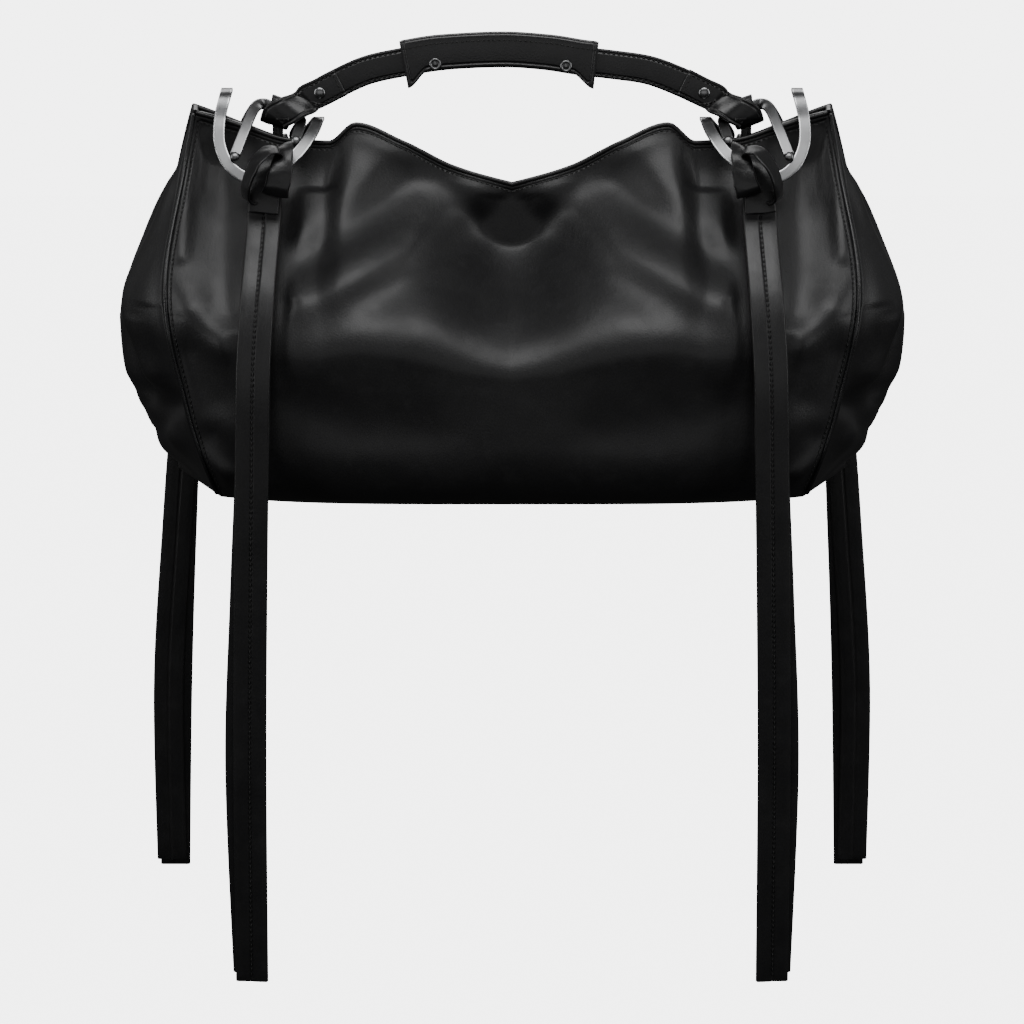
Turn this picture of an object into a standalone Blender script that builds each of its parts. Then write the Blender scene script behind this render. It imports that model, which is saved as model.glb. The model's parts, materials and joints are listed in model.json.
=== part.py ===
"""A slouchy leather bag with a top handle, a saddle ring at each end of its mouth and four knotted straps.

Heights are measured up from the underside of the base. The origin is under the grip, where a hand or a hook
holds the bag, so `at` takes HANG_HEIGHT off every height. +X is the bag's right, +Y its back.
"""

from math import cos, pi, radians, sin, sqrt

import bmesh
import bpy
from mathutils import Vector

HANG_HEIGHT = 0.242  # base to the underside of the grip
LEATHER = 0.0022  # thickness of one panel
GAP = 0.0005  # clearance between pieces that touch

# Half-widths of the seams, as (height, half-width)
FRONT_WIDTHS = ((0, 0.168), (0.054, 0.184), (0.125, 0.1955), (0.187, 0.1876), (0.222, 0.182))
BACK_WIDTHS = ((0, 0.204), (0.045, 0.224), (0.097, 0.233), (0.159, 0.204), (0.222, 0.184))
# The neckline of the front, as (distance from the middle, height)
NECKLINE = (
    (0, 0.176),
    (0.034, 0.1865),
    (0.062, 0.2005),
    (0.089, 0.2105),
    (0.103, 0.2),
    (0.126, 0.2015),
    (0.15, 0.2085),
    (0.182, 0.2175),
)
RIM_WIDTH = 0.182  # half-width of the mouth
BACK_DROP = 0.005  # the back's neckline is this much lower in the middle
BULGE = 0.084  # depth of the belly in front of the middle plane, and behind it
SEAM_DROP = 0.022  # how much shallower the belly is at the seams
LIP_CENTRE = 0.0074  # depth of the lips at the snap
LIP_SIDE = 0.008  # depth of the lips beside the rings
ROLL_HEIGHT = 0.036  # the belly rolls under below this height
ROLL_DEPTH = 0.018
GUSSET_BULGE = 0.009

HANDLE_WIDTH = 0.0165
HANDLE_THICKNESS = 0.0024
STRAP_WIDTH = 0.019
STRAP_THICKNESS = 0.0022
RING_THICKNESS = 0.002
RING_WIDTH = 0.0066
BAR_X = 0.134  # middle of the ring's top bar
BAR_HEIGHT = 0.2185
NECK_HEIGHT = 0.2245  # the handle folds here
RING_SLOPE = -0.35  # fall of the ring's top bar towards the middle of the bag


def at(x, y, height):
    return Vector((x, y, height - HANG_HEIGHT))


def smooth(t):
    t = min(1.0, max(0.0, t))
    return t * t * (3 - 2 * t)


def through(points, x):
    """A monotone cubic through (x, value) points."""
    slopes = [(b[1] - a[1]) / (b[0] - a[0]) for a, b in zip(points, points[1:])]
    tangents = [slopes[0]]
    for before, after in zip(slopes, slopes[1:]):
        tangents.append(0.0 if before * after <= 0 else 2 * before * after / (before + after))
    tangents.append(slopes[-1])
    x = min(max(x, points[0][0]), points[-1][0])
    for n, (a, b) in enumerate(zip(points, points[1:])):
        if x <= b[0]:
            width = b[0] - a[0]
            t = (x - a[0]) / width
            rise = a[1] * (2 * t**3 - 3 * t**2 + 1) + b[1] * (3 * t**2 - 2 * t**3)
            return rise + width * (tangents[n] * (t**3 - 2 * t**2 + t) + tangents[n + 1] * (t**3 - t**2))
    return points[-1][1]


def route(points, steps, closed=False):
    """A smooth curve through the points, with this many steps for each stretch."""
    points = [Vector(p) for p in points]
    count = len(points)
    found = []
    for n in range(count if closed else count - 1):
        if closed:
            a, b, c, d = (points[(n + k) % count] for k in (-1, 0, 1, 2))
        else:
            a, b, c, d = (points[min(max(n + k, 0), count - 1)] for k in (-1, 0, 1, 2))
        for k in range(steps):
            t = k / steps
            bend = (2 * a - 5 * b + 4 * c - d) * t**2 + (3 * b - a - 3 * c + d) * t**3
            found.append(0.5 * (2 * b + (c - a) * t + bend))
    if not closed:
        found.append(points[-1].copy())
    return found


def material(name, colour, roughness, metallic=0.0):
    made = bpy.data.materials.get(name)
    if made is None:
        made = bpy.data.materials.new(name)
        made.use_nodes = True
        shader = made.node_tree.nodes["Principled BSDF"]
        shader.inputs["Base Color"].default_value = (*colour, 1)
        shader.inputs["Roughness"].default_value = roughness
        shader.inputs["Metallic"].default_value = metallic
    return made


def black_leather():
    return material("black_leather", (0.012, 0.012, 0.013), 0.42)


def lining_cloth():
    return material("lining_cloth", (0.02, 0.02, 0.022), 0.85)


def brushed_steel():
    return material("brushed_steel", (0.62, 0.63, 0.64), 0.28, 1.0)


def dark_board():
    return material("dark_board", (0.05, 0.045, 0.04), 0.8)


def pivot(name, place, parent=None):
    """An empty on a joint's axis, which the pieces that move with it hang from."""
    empty = bpy.data.objects.new(name, None)
    empty.location = place
    bpy.context.collection.objects.link(empty)
    bpy.context.view_layer.update()
    if parent:
        empty.parent = parent
        empty.matrix_parent_inverse = parent.matrix_world.inverted()
    bpy.context.view_layer.update()
    return empty


def piece(name, mesh, parent, look, sharp=40):
    bmesh.ops.recalc_face_normals(mesh, faces=mesh.faces)
    data = bpy.data.meshes.new(name)
    mesh.to_mesh(data)
    mesh.free()
    data.shade_smooth()
    data.set_sharp_from_angle(angle=radians(sharp))
    data.materials.append(look)
    made = bpy.data.objects.new(name, data)
    bpy.context.collection.objects.link(made)
    made.parent = parent
    made.matrix_parent_inverse = parent.matrix_world.inverted()
    return made


def ribbon(centres, sides, width, thickness, closed=False):
    """A flat strip along the centres. Each side vector points across the strip, in its face."""
    mesh = bmesh.new()
    count = len(centres)
    rings = []
    for n, (centre, side) in enumerate(zip(centres, sides)):
        after = centres[(n + 1) % count] if closed else centres[min(n + 1, count - 1)]
        before = centres[n - 1] if closed else centres[max(n - 1, 0)]
        ahead = (after - before).normalized()
        across = (side - ahead * side.dot(ahead)).normalized()
        out = ahead.cross(across)
        rings.append(
            [
                mesh.verts.new(centre + across * a * width / 2 + out * b * thickness / 2)
                for a, b in ((-1, -1), (1, -1), (1, 1), (-1, 1))
            ]
        )
    for n in range(count if closed else count - 1):
        here, ahead_ring = rings[n], rings[(n + 1) % count]
        for k in range(4):
            mesh.faces.new((here[k], here[(k + 1) % 4], ahead_ring[(k + 1) % 4], ahead_ring[k]))
    if not closed:
        mesh.faces.new(rings[0])
        mesh.faces.new(rings[-1])
    return mesh


def bead(centres, radius, sides=6):
    """A round cord along the centres."""
    mesh = bmesh.new()
    rings = []
    for n, centre in enumerate(centres):
        ahead = (centres[min(n + 1, len(centres) - 1)] - centres[max(n - 1, 0)]).normalized()
        across = ahead.cross(Vector((0.2, 1, 0.1))).normalized()
        out = ahead.cross(across)
        turns = [2 * pi * k / sides for k in range(sides)]
        rings.append([mesh.verts.new(centre + radius * (across * cos(t) + out * sin(t))) for t in turns])
    for here, after in zip(rings, rings[1:]):
        for k in range(sides):
            mesh.faces.new((here[k], here[(k + 1) % sides], after[(k + 1) % sides], after[k]))
    mesh.faces.new(rings[0])
    mesh.faces.new(rings[-1])
    return mesh


def shell(surface, columns, rows, depth, thickness):
    """A curved wall: the surface set back by depth, and given its thickness further in.

    The surface takes two numbers from 0 to 1 and gives a point. Its second direction crossed with its first
    points into the bag.
    """
    mesh = bmesh.new()
    small = 1e-3
    layers = ([], [])
    for i in range(columns + 1):
        for layer in layers:
            layer.append([])
        for j in range(rows + 1):
            a, b = i / columns, j / rows
            along = surface(min(a + small, 1), b) - surface(max(a - small, 0), b)
            up = surface(a, min(b + small, 1)) - surface(a, max(b - small, 0))
            inward = up.cross(along).normalized()
            for layer, offset in zip(layers, (depth, depth + thickness)):
                layer[-1].append(mesh.verts.new(surface(a, b) + inward * offset))
    outer, inner = layers
    for i in range(columns):
        for j in range(rows):
            mesh.faces.new((outer[i][j], outer[i + 1][j], outer[i + 1][j + 1], outer[i][j + 1]))
            mesh.faces.new((inner[i][j], inner[i][j + 1], inner[i + 1][j + 1], inner[i + 1][j]))
    for i in range(columns):
        for j in (0, rows):
            mesh.faces.new((outer[i][j], outer[i + 1][j], inner[i + 1][j], inner[i][j]))
    for j in range(rows):
        for i in (0, columns):
            mesh.faces.new((outer[i][j], outer[i][j + 1], inner[i][j + 1], inner[i][j]))
    return mesh


def turned(centre, axis, profile, steps=12):
    """A round solid: profile gives (radius, distance along the axis) from one end to the other."""
    mesh = bmesh.new()
    axis = axis.normalized()
    across = axis.orthogonal().normalized()
    out = axis.cross(across)
    rings = []
    for radius, along in profile:
        middle = centre + axis * along
        if radius == 0:
            rings.append([mesh.verts.new(middle)])
            continue
        turns = [2 * pi * k / steps for k in range(steps)]
        rings.append([mesh.verts.new(middle + radius * (across * cos(t) + out * sin(t))) for t in turns])
    for here, after in zip(rings, rings[1:]):
        for k in range(steps):
            corners = [here[k % len(here)], here[(k + 1) % len(here)]]
            corners += [after[(k + 1) % len(after)], after[k % len(after)]]
            mesh.faces.new(list(dict.fromkeys(corners)))
    return mesh


def slab(outline, low, high):
    """A flat plate between two heights, from (x, y) points in order."""
    mesh = bmesh.new()
    below = [mesh.verts.new(at(x, y, low)) for x, y in outline]
    above = [mesh.verts.new(at(x, y, high)) for x, y in outline]
    mesh.faces.new(below)
    mesh.faces.new(above)
    for n in range(len(outline)):
        after = (n + 1) % len(outline)
        mesh.faces.new((below[n], below[after], above[after], above[n]))
    return mesh


def rim_height(across, back):
    """Height of the neckline. across runs from -1 at the left corner to 1 at the right."""
    height = through(NECKLINE, abs(across) * RIM_WIDTH)
    if back:
        height -= BACK_DROP * (1 - smooth((abs(across) - 0.45) / 0.3))
        height += 0.003 * smooth((abs(across) - 0.75) / 0.25)
    return height


def wall_point(across, height, back):
    """A point on the outside of the front or the back."""
    rim = rim_height(across, back)
    lip = LIP_CENTRE + (LIP_SIDE - LIP_CENTRE) * smooth(abs(across) / 0.4)
    belly = BULGE - SEAM_DROP * across**4
    end = 0.84 + 0.16 * smooth(abs(across) / 0.3)
    depth = belly + (lip - belly) * smooth((height / rim - 0.42) / (end - 0.42))
    roll = max(0.0, 1 - height / ROLL_HEIGHT)
    depth -= ROLL_DEPTH * (1 - sqrt(1 - roll**2))
    width = through(BACK_WIDTHS if back else FRONT_WIDTHS, height)
    return at(across * width, depth if back else -depth, height)


def wall_surface(back, edge=1.0, foot=0.0, top=1.0):
    def surface(a, b):
        across = (2 * a - 1) * edge * (-1 if back else 1)
        height = rim_height(across, back) * (foot + (top - foot) * b)
        return wall_point(across, height, back)

    return surface


def side_point(side, t, height):
    """A point on the gusset. t runs from 0 at the front seam to 1 at the back seam."""
    front = wall_point(side, height * rim_height(1, False), False)
    back = wall_point(side, height * rim_height(1, True), True)
    point = front.lerp(back, t)
    full = min(1.0, height * 6) * (1 - smooth((height - 0.6) / 0.4))
    bulge = GUSSET_BULGE * full * (0.9 * sin(pi * t) + 0.35 * sin(3 * pi * t) ** 2)
    return point + Vector((side * bulge, 0, 0))


def side_surface(side):
    def surface(a, b):
        start = LEATHER + 4 * GAP
        length = max(0.012, (side_point(side, 1, b) - side_point(side, 0, b)).length)
        t = start / length + (1 - 2 * start / length) * (a if side < 0 else 1 - a)
        return side_point(side, 1 - t, b)

    return surface


def make_bag(bag):
    leather = black_leather()
    piece("front_panel", shell(wall_surface(False), 32, 12, 0, LEATHER), bag, leather)
    piece("back_panel", shell(wall_surface(True), 32, 12, 0, LEATHER), bag, leather)
    lining_depth = LEATHER + 0.0016
    for name, back in (("lining_front", False), ("lining_back", True)):
        surface = wall_surface(back, 0.96, 0.09, 0.8)
        piece(name, shell(surface, 24, 10, lining_depth, 0.0008), bag, lining_cloth())
    for side, word in ((-1, "left"), (1, "right")):
        piece("side_gusset_" + word, shell(side_surface(side), 8, 12, 0, LEATHER), bag, leather)
        for back, end in ((False, "front"), (True, "back")):
            seam = []
            for n in range(19):
                height = rim_height(1, back) * (0.03 + 0.95 * n / 18)
                point = wall_point(side, height, back)
                seam.append(point + Vector((side * 0.0022, 0.0012 * (1 if back else -1), 0)))
            piece(f"seam_cord_{end}_{word}", bead(seam, 0.0013), bag, leather)
    for name, back in (("front_rim_binding", False), ("back_rim_binding", True)):
        rim = []
        for n in range(33):
            across = min(0.985, max(-0.985, n / 16 - 1))
            point = wall_point(across, rim_height(across, back), back)
            rim.append(point + Vector((0, (-1 if back else 1) * LEATHER / 2, 0.0023)))
        piece(name, bead(rim, 0.0014), bag, leather)
    outline = []
    for back in (False, True):
        for n in range(17):
            across = (n / 8 - 1) * (-1 if back else 1)
            foot = wall_point(across, 0, back)
            outline.append((foot.x * 0.982, foot.y * 0.985))
    piece("base_panel", slab(outline, 0, 0.0024), bag, leather)
    board = [(x * 0.94, y * 0.88) for x, y in outline]
    piece("base_board", slab(board, 0.0029, 0.0047), bag, dark_board())
    front = Vector((0, -1, 0))
    snap = at(0, 0, 0.162)
    disc = [(0, 0.0002), (0.008, 0.0002), (0.008, 0.0015), (0.0072, 0.002), (0, 0.002)]
    piece("snap_socket", turned(snap, front, disc), bag, brushed_steel())
    piece("snap_stud", turned(snap, -front, disc), bag, brushed_steel())


def ring_face(point):
    """Which way the ring's strip faces: forward and up in front, up over the mouth, and back behind."""
    turn = radians(66) * smooth(abs(point.y) / 0.02)
    return Vector((0, sin(turn) * (1 if point.y > 0 else -1), cos(turn)))


def arch_face(point):
    """Which way an arch faces: its arms like the hoop, and its top bar almost straight forward or back."""
    turn = radians(84 - 22 * smooth(abs(point.y) / 0.02))
    return Vector((0, sin(turn) * (1 if point.y > 0 else -1), cos(turn)))


def strip(points, steps, width, face, closed):
    centres = route(points, steps, closed)
    sides = []
    for n, centre in enumerate(centres):
        last = len(centres) - 1
        after = centres[(n + 1) % len(centres)] if closed else centres[min(n + 1, last)]
        before = centres[n - 1] if closed else centres[max(n - 1, 0)]
        sides.append((after - before).cross(face(centre)))
    return ribbon(centres, sides, width, RING_THICKNESS, closed)


def make_ring(side, word, pivot_empty):
    """The saddle hoop, and the two arches inside it whose tops lie together in the handle's loop."""
    half = (
        (-0.1635, -0.012, 0.2285),
        (-0.1662, -0.021, 0.214),
        (-0.1655, -0.028, 0.2),
        (-0.159, -0.034, 0.188),
        (-0.147, -0.0365, 0.182),
        (-0.133, -0.035, 0.1865),
        (-0.1215, -0.0295, 0.196),
        (-0.114, -0.0195, 0.2065),
        (-0.1115, -0.008, 0.213),
    )
    front = [at(-side * x, y, h) for x, y, h in half]
    behind = [at(-side * (x - 0.006 * smooth(abs(y) / 0.03)), -y, h) for x, y, h in reversed(half)]
    hoop = strip(front + behind, 4, RING_WIDTH, ring_face, True)
    piece("ring_hoop_" + word, hoop, pivot_empty, brushed_steel(), 30)
    for back, end in ((1, "front"), (-1, "back")):
        shift = 0 if back > 0 else -0.006
        arch = (
            (-0.1565, -0.0335, 0.1955),
            (-0.152, -0.024, 0.208),
            (-0.1475, -0.012, 0.2195),
            (-0.143, -0.0028, 0.2222),
            (-0.136, -0.0015, 0.2195),
            (-0.129, -0.0015, 0.217),
            (-0.1225, -0.0022, 0.2135),
            (-0.1215, -0.008, 0.2105),
            (-0.122, -0.0155, 0.2075),
            (-0.123, -0.021, 0.2035),
        )
        points = [at(-side * (x + shift * smooth(abs(y) / 0.03)), back * y, h) for x, y, h in arch]
        bar = strip(points, 3, RING_WIDTH * 0.9, arch_face, False)
        piece(f"ring_arch_{end}_{word}", bar, pivot_empty, brushed_steel(), 30)


# The middle line of the handle, as (distance along the bag, height)
ARCH = (
    (-0.1105, 0.2285),
    (-0.102, 0.233),
    (-0.084, 0.241),
    (-0.064, 0.2455),
    (-0.0385, 0.2495),
    (-0.005, 0.251),
    (0.019, 0.2495),
    (0.039, 0.2465),
    (0.0565, 0.2445),
    (0.0775, 0.2415),
    (0.0936, 0.236),
    (0.1105, 0.2285),
)


def in_plane_sides(centres):
    sides = []
    for n in range(len(centres)):
        ahead = centres[min(n + 1, len(centres) - 1)] - centres[max(n - 1, 0)]
        sides.append(ahead.cross(Vector((0, 1, 0))))
    return sides


def make_handle(handle, bag):
    leather = black_leather()
    layer = HANDLE_THICKNESS / 2 + GAP / 2
    ends = ((-0.117, 0.2256), *ARCH, (0.117, 0.2256))
    centres = route([at(x, layer, h) for x, h in ends], 3)
    strap = ribbon(centres, in_plane_sides(centres), HANDLE_WIDTH, HANDLE_THICKNESS)
    piece("handle_strap", strap, handle, leather)
    for side, word in ((-1, "left"), (1, "right")):
        inner = 0.0985
        places = ((0.117, 0.2256), (0.1105, 0.2285), (inner, 0.2345))
        fold = route([at(side * x, -layer, h) for x, h in places], 4)
        front = ribbon(fold, in_plane_sides(fold), HANDLE_WIDTH * 1.05, HANDLE_THICKNESS)
        piece("handle_end_" + word, front, handle, leather)
        rivet = at(side * 0.1105, 0, 0.2285)
        face = 2 * layer - GAP / 2 + GAP
        dome = [(0, face), (0.0034, face), (0.0034, face + 0.0006), (0.0026, face + 0.0014)]
        dome += [(0.0014, face + 0.0019), (0, face + 0.002)]
        piece("handle_rivet_" + word, turned(rivet, Vector((0, -1, 0)), dome), handle, brushed_steel())
        cap = [(0, face), (0.0032, face), (0.0032, face + 0.0008), (0, face + 0.001)]
        piece("handle_rivet_cap_" + word, turned(rivet, Vector((0, 1, 0)), cap), handle, brushed_steel())
        make_loop(side, word, bag)
    make_grip(handle)


def slotted_ribbon(centres, side, width, thickness, slot, first, last):
    """A flat strip with a slot from one station of the centres to another.

    slot gives the slot's two edges across the strip.
    """
    mesh = bmesh.new()
    offsets = (-width / 2, *slot, width / 2)
    stations = []
    for n, centre in enumerate(centres):
        ahead = (centres[min(n + 1, len(centres) - 1)] - centres[max(n - 1, 0)]).normalized()
        across = (side - ahead * side.dot(ahead)).normalized()
        out = ahead.cross(across) * thickness / 2
        faces = [[centre + across * x + out * face for x in offsets] for face in (-1, 1)]
        stations.append([[mesh.verts.new(point) for point in face] for face in faces])
    for n, (here, after) in enumerate(zip(stations, stations[1:])):
        open_here = first <= n < last
        for k in range(3):
            if not (open_here and k == 1):
                for face in (0, 1):
                    mesh.faces.new((here[face][k], here[face][k + 1], after[face][k + 1], after[face][k]))
        for k in (0, 1, 2, 3) if open_here else (0, 3):
            mesh.faces.new((here[0][k], here[1][k], after[1][k], after[0][k]))
    for n in (0, first, last, len(stations) - 1):
        for k in (1,) if n in (first, last) else (0, 1, 2):
            below, above = stations[n]
            mesh.faces.new((below[k], below[k + 1], above[k + 1], above[k]))
    # Its faces twist, so each is divided along its shorter diagonal, which is the same choice at both ends.
    bmesh.ops.triangulate(mesh, faces=mesh.faces[:], quad_method="SHORT_EDGE")
    return mesh


def make_loop(side, word, bag):
    """The fold of the handle's end, under the ring's top bars, with a slot for the anchor tab."""
    out = 0.0066
    down = Vector((side * 0.42, 0, -0.9)).normalized()
    across = Vector((-side, 0, RING_SLOPE)).normalized()
    top = at(side * 0.1178, 0, 0.2252) + down * 0.0018
    low = at(side * (BAR_X + 0.0012), 0, 0.2155)
    layer = HANDLE_THICKNESS / 2 + GAP / 2
    behind = [(top, layer), (top.lerp(low, 0.5), 0.0062), (low, out)]
    centres = route([p + Vector((0, y, 0)) for p, y in behind], 3)
    bend = 8
    for k in range(1, bend):
        turn = pi * k / bend
        centres.append(low + down * 0.0052 * sin(turn) + Vector((0, out * cos(turn), 0)))
    centres += [Vector((p.x, -p.y, p.z)) for p in reversed(centres[:7])]
    middle = len(centres) // 2
    slot = (-0.002, 0.0061)
    width = HANDLE_WIDTH - 0.003
    loop = slotted_ribbon(centres, across, width, HANDLE_THICKNESS, slot, middle - 3, middle + 3)
    piece("handle_loop_" + word, loop, bag, black_leather())
    make_tab(side, word, bag, across)


def make_tab(side, word, bag, across):
    """The leather tab that rises out of the mouth, through the handle's fold and over the ring's bars."""
    x = side * (BAR_X + 0.0012)
    half = [(-0.0012, 0.188), (-0.0012, 0.21), (-0.0036, 0.2145)]
    half += [(-0.0039, 0.2195), (-0.0032, 0.2245), (0, 0.2262)]
    points = [at(x, y, h) for y, h in half] + [at(x, -y, h) for y, h in reversed(half[:-1])]
    centres = route(points, 4)
    tab = ribbon(centres, [across] * len(centres), 0.006, 0.0013)
    piece("anchor_tab_" + word, tab, bag, black_leather())


def make_grip(handle):
    """The cover folded over the strap: a long inverted U whose ends reach down past the strap."""
    mesh = bmesh.new()
    left, right = -0.0625, 0.0485
    steps = 22
    inner = HANDLE_THICKNESS / 2 + 0.0006
    outer = inner + 0.0016
    middle = HANDLE_THICKNESS / 2 + GAP / 2
    rings = []
    for n in range(steps + 1):
        t = n / steps
        x = left + (right - left) * t
        h = through(ARCH, x)
        slope = (through(ARCH, x + 0.001) - through(ARCH, x - 0.001)) / 0.002
        end = 1 - smooth(min(t, 1 - t) / 0.12)
        top = h + HANDLE_WIDTH / 2 + 0.0036
        low = h - HANDLE_WIDTH / 2 + 0.001 - 0.0075 * end
        lean = -slope
        section = [(-outer, low), (-outer, top - 0.0016), (-outer + 0.0016, top), (outer - 0.0016, top)]
        section += [(outer, top - 0.0016), (outer, low), (inner, low), (inner, top - 0.0024)]
        section += [(-inner, top - 0.0024), (-inner, low)]
        rings.append([mesh.verts.new(at(x + lean * (z - h), middle + y, z)) for y, z in section])
    count = len(rings[0])
    for here, after in zip(rings, rings[1:]):
        for k in range(count):
            mesh.faces.new((here[k], here[(k + 1) % count], after[(k + 1) % count], after[k]))
    mesh.faces.new(rings[0])
    mesh.faces.new(rings[-1])
    piece("grip_cover", mesh, handle, black_leather())
    for x, word in ((-0.044, "left"), (0.031, "right")):
        h = through(ARCH, x) - 0.0042
        face = outer - middle + 0.0004
        ringlet = [(0.0018, face), (0.0034, face), (0.0034, face + 0.0006), (0.0027, face + 0.0011)]
        ringlet += [(0.0018, face + 0.0008), (0.0018, face)]
        rivet = turned(at(x, 0, h), Vector((0, -1, 0)), ringlet)
        piece("grip_rivet_" + word, rivet, handle, brushed_steel())


def strap_route(side, back, layer):
    """The middle line of one tail, from under its knot, over the belly and down.

    layer is 0 for the outer tail and 1 for the inner one.
    """
    if back:
        points = ((0.165, 0.05, 0.158), (0.178, 0.076, 0.118))
        points += ((0.192, 0.0845, 0.08), (0.203, 0.0865, 0.03))
        points += ((0.209, 0.0865, -0.05), (0.2145, 0.0865, -0.15), (0.219, 0.0865, -0.271))
    else:
        points = ((0.1395, -0.0505, 0.158), (0.1415, -0.076, 0.118))
        points += ((0.1435, -0.0875, 0.08), (0.145, -0.0895, 0.03))
        points += ((0.1475, -0.0895, -0.05), (0.15, -0.0895, -0.15), (0.1515, -0.0895, -0.279))
    found = []
    for x, y, h in points:
        towards = 1 if back else -1
        spread = smooth((0.05 - h) / 0.2) * (1 - smooth((-0.17 - h) / 0.1) * 0.65)
        x += layer * 0.0052 * spread
        y -= towards * layer * (STRAP_THICKNESS + 2 * GAP)
        if h < -0.2:
            h += layer * 0.0045
        found.append(at(side * x, y, h))
    return found


def make_strap(side, word, back, parent):
    leather = black_leather()
    end = "back" if back else "front"
    towards = 1 if back else -1
    across = Vector((1, 0, 0))
    for layer, tail in enumerate(("outer", "inner")):
        centres = route(strap_route(side, back, layer), 3)
        strip_mesh = ribbon(centres, [across] * len(centres), STRAP_WIDTH, STRAP_THICKNESS)
        piece(f"strap_{end}_{word}_{tail}_tail", strip_mesh, parent, leather)
    bar_x = 0.1505 if back else 0.1405
    bar_height = 0.1835
    bar_depth = 0.0362
    grip = 0.0072 if back else 0.0064
    loop = []
    for k in range(9):
        turn = pi * k / 8
        depth = towards * (bar_depth + grip * cos(turn))
        loop.append(at(side * bar_x, depth, bar_height + 0.0088 * sin(turn)))
    x = side * (bar_x + (0.006 if back else 0))
    front_leg = [at(x, towards * (bar_depth + 0.013), 0.1625), at(x, towards * (bar_depth + 0.0078), 0.175)]
    back_leg = [at(x, towards * (bar_depth - 0.0064), 0.175), at(x, towards * (bar_depth + 0.002), 0.166)]
    centres = route(front_leg + loop[::2] + back_leg, 2)
    tilted = Vector((1, 0, side * (-0.15 if back else -0.38)))
    mesh = ribbon(centres, [tilted] * len(centres), STRAP_WIDTH, STRAP_THICKNESS)
    piece(f"knot_loop_{end}_{word}", mesh, parent, leather)


def main():
    for old in list(bpy.data.objects):
        bpy.data.objects.remove(old)
    handle = pivot("handle", at(0, 0, HANG_HEIGHT))
    bag = pivot("bag_pivot", at(0, 0, NECK_HEIGHT), handle)
    make_bag(bag)
    make_handle(handle, bag)
    for side, word in ((-1, "left"), (1, "right")):
        ring = pivot("ring_pivot_" + word, at(side * BAR_X, 0, BAR_HEIGHT), bag)
        make_ring(side, word, ring)
        for back, end in ((False, "front"), (True, "back")):
            y = 0.0362 if back else -0.0362
            strap = pivot(f"strap_pivot_{end}_{word}", at(side * 0.145, y, 0.1835), ring)
            make_strap(side, word, back, strap)


main()
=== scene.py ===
"""A slouchy leather bag hung by its short handle: one lofted body with soft folds, a lined mouth, saddle rings of
flat steel, and a pair of strap tails knotted to each end of each ring.

Heights are measured up from the underside of the base. The row frame's origin is under the grip, so `at` takes
HANG_HEIGHT off every height. +X is the bag's right, +Y its back.
"""

import json
from math import cos, pi, radians, sin, sqrt

import bmesh
import bpy
import numpy as np
from bpy.props import FloatProperty, FloatVectorProperty, PointerProperty
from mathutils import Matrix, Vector, noise

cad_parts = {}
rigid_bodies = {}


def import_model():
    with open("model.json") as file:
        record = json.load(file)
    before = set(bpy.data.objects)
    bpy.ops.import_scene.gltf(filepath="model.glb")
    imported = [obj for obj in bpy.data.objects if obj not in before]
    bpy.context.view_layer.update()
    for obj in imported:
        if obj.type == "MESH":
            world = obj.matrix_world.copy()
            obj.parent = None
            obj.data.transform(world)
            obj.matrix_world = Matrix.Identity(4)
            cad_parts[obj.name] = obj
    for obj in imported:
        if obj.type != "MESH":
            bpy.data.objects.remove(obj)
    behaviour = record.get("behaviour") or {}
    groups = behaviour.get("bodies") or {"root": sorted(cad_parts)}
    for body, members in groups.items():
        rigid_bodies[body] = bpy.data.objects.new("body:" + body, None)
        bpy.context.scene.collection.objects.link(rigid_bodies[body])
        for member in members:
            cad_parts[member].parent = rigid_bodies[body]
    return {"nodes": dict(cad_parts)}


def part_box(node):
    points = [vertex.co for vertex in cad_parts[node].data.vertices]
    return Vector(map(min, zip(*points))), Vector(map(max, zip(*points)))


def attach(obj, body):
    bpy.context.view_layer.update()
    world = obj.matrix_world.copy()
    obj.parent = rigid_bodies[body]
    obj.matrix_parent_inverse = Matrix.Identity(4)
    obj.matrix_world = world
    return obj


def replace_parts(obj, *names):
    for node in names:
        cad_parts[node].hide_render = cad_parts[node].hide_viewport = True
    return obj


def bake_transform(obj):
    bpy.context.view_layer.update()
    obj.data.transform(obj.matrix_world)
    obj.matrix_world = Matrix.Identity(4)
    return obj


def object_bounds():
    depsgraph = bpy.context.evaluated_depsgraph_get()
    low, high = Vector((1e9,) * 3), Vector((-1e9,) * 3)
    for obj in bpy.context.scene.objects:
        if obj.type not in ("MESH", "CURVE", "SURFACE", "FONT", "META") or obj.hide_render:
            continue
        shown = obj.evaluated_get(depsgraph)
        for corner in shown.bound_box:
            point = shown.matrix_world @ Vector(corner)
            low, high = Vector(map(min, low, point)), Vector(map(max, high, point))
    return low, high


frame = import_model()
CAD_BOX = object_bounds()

bl_info = {
    "name": "Ringed Leather Bag",
    "version": (1, 0, 0),
    "blender": (4, 5, 0),
    "location": "View3D > Sidebar > Bag",
    "description": "Builds a slouchy leather bag with saddle rings and knotted straps around its CAD frame",
    "category": "Add Mesh",
}

HANG_HEIGHT = -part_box("base_panel")[0].z
SIDES = ((-1, "left"), (1, "right"))
ENDS = ((False, "front"), (True, "back"))

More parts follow.
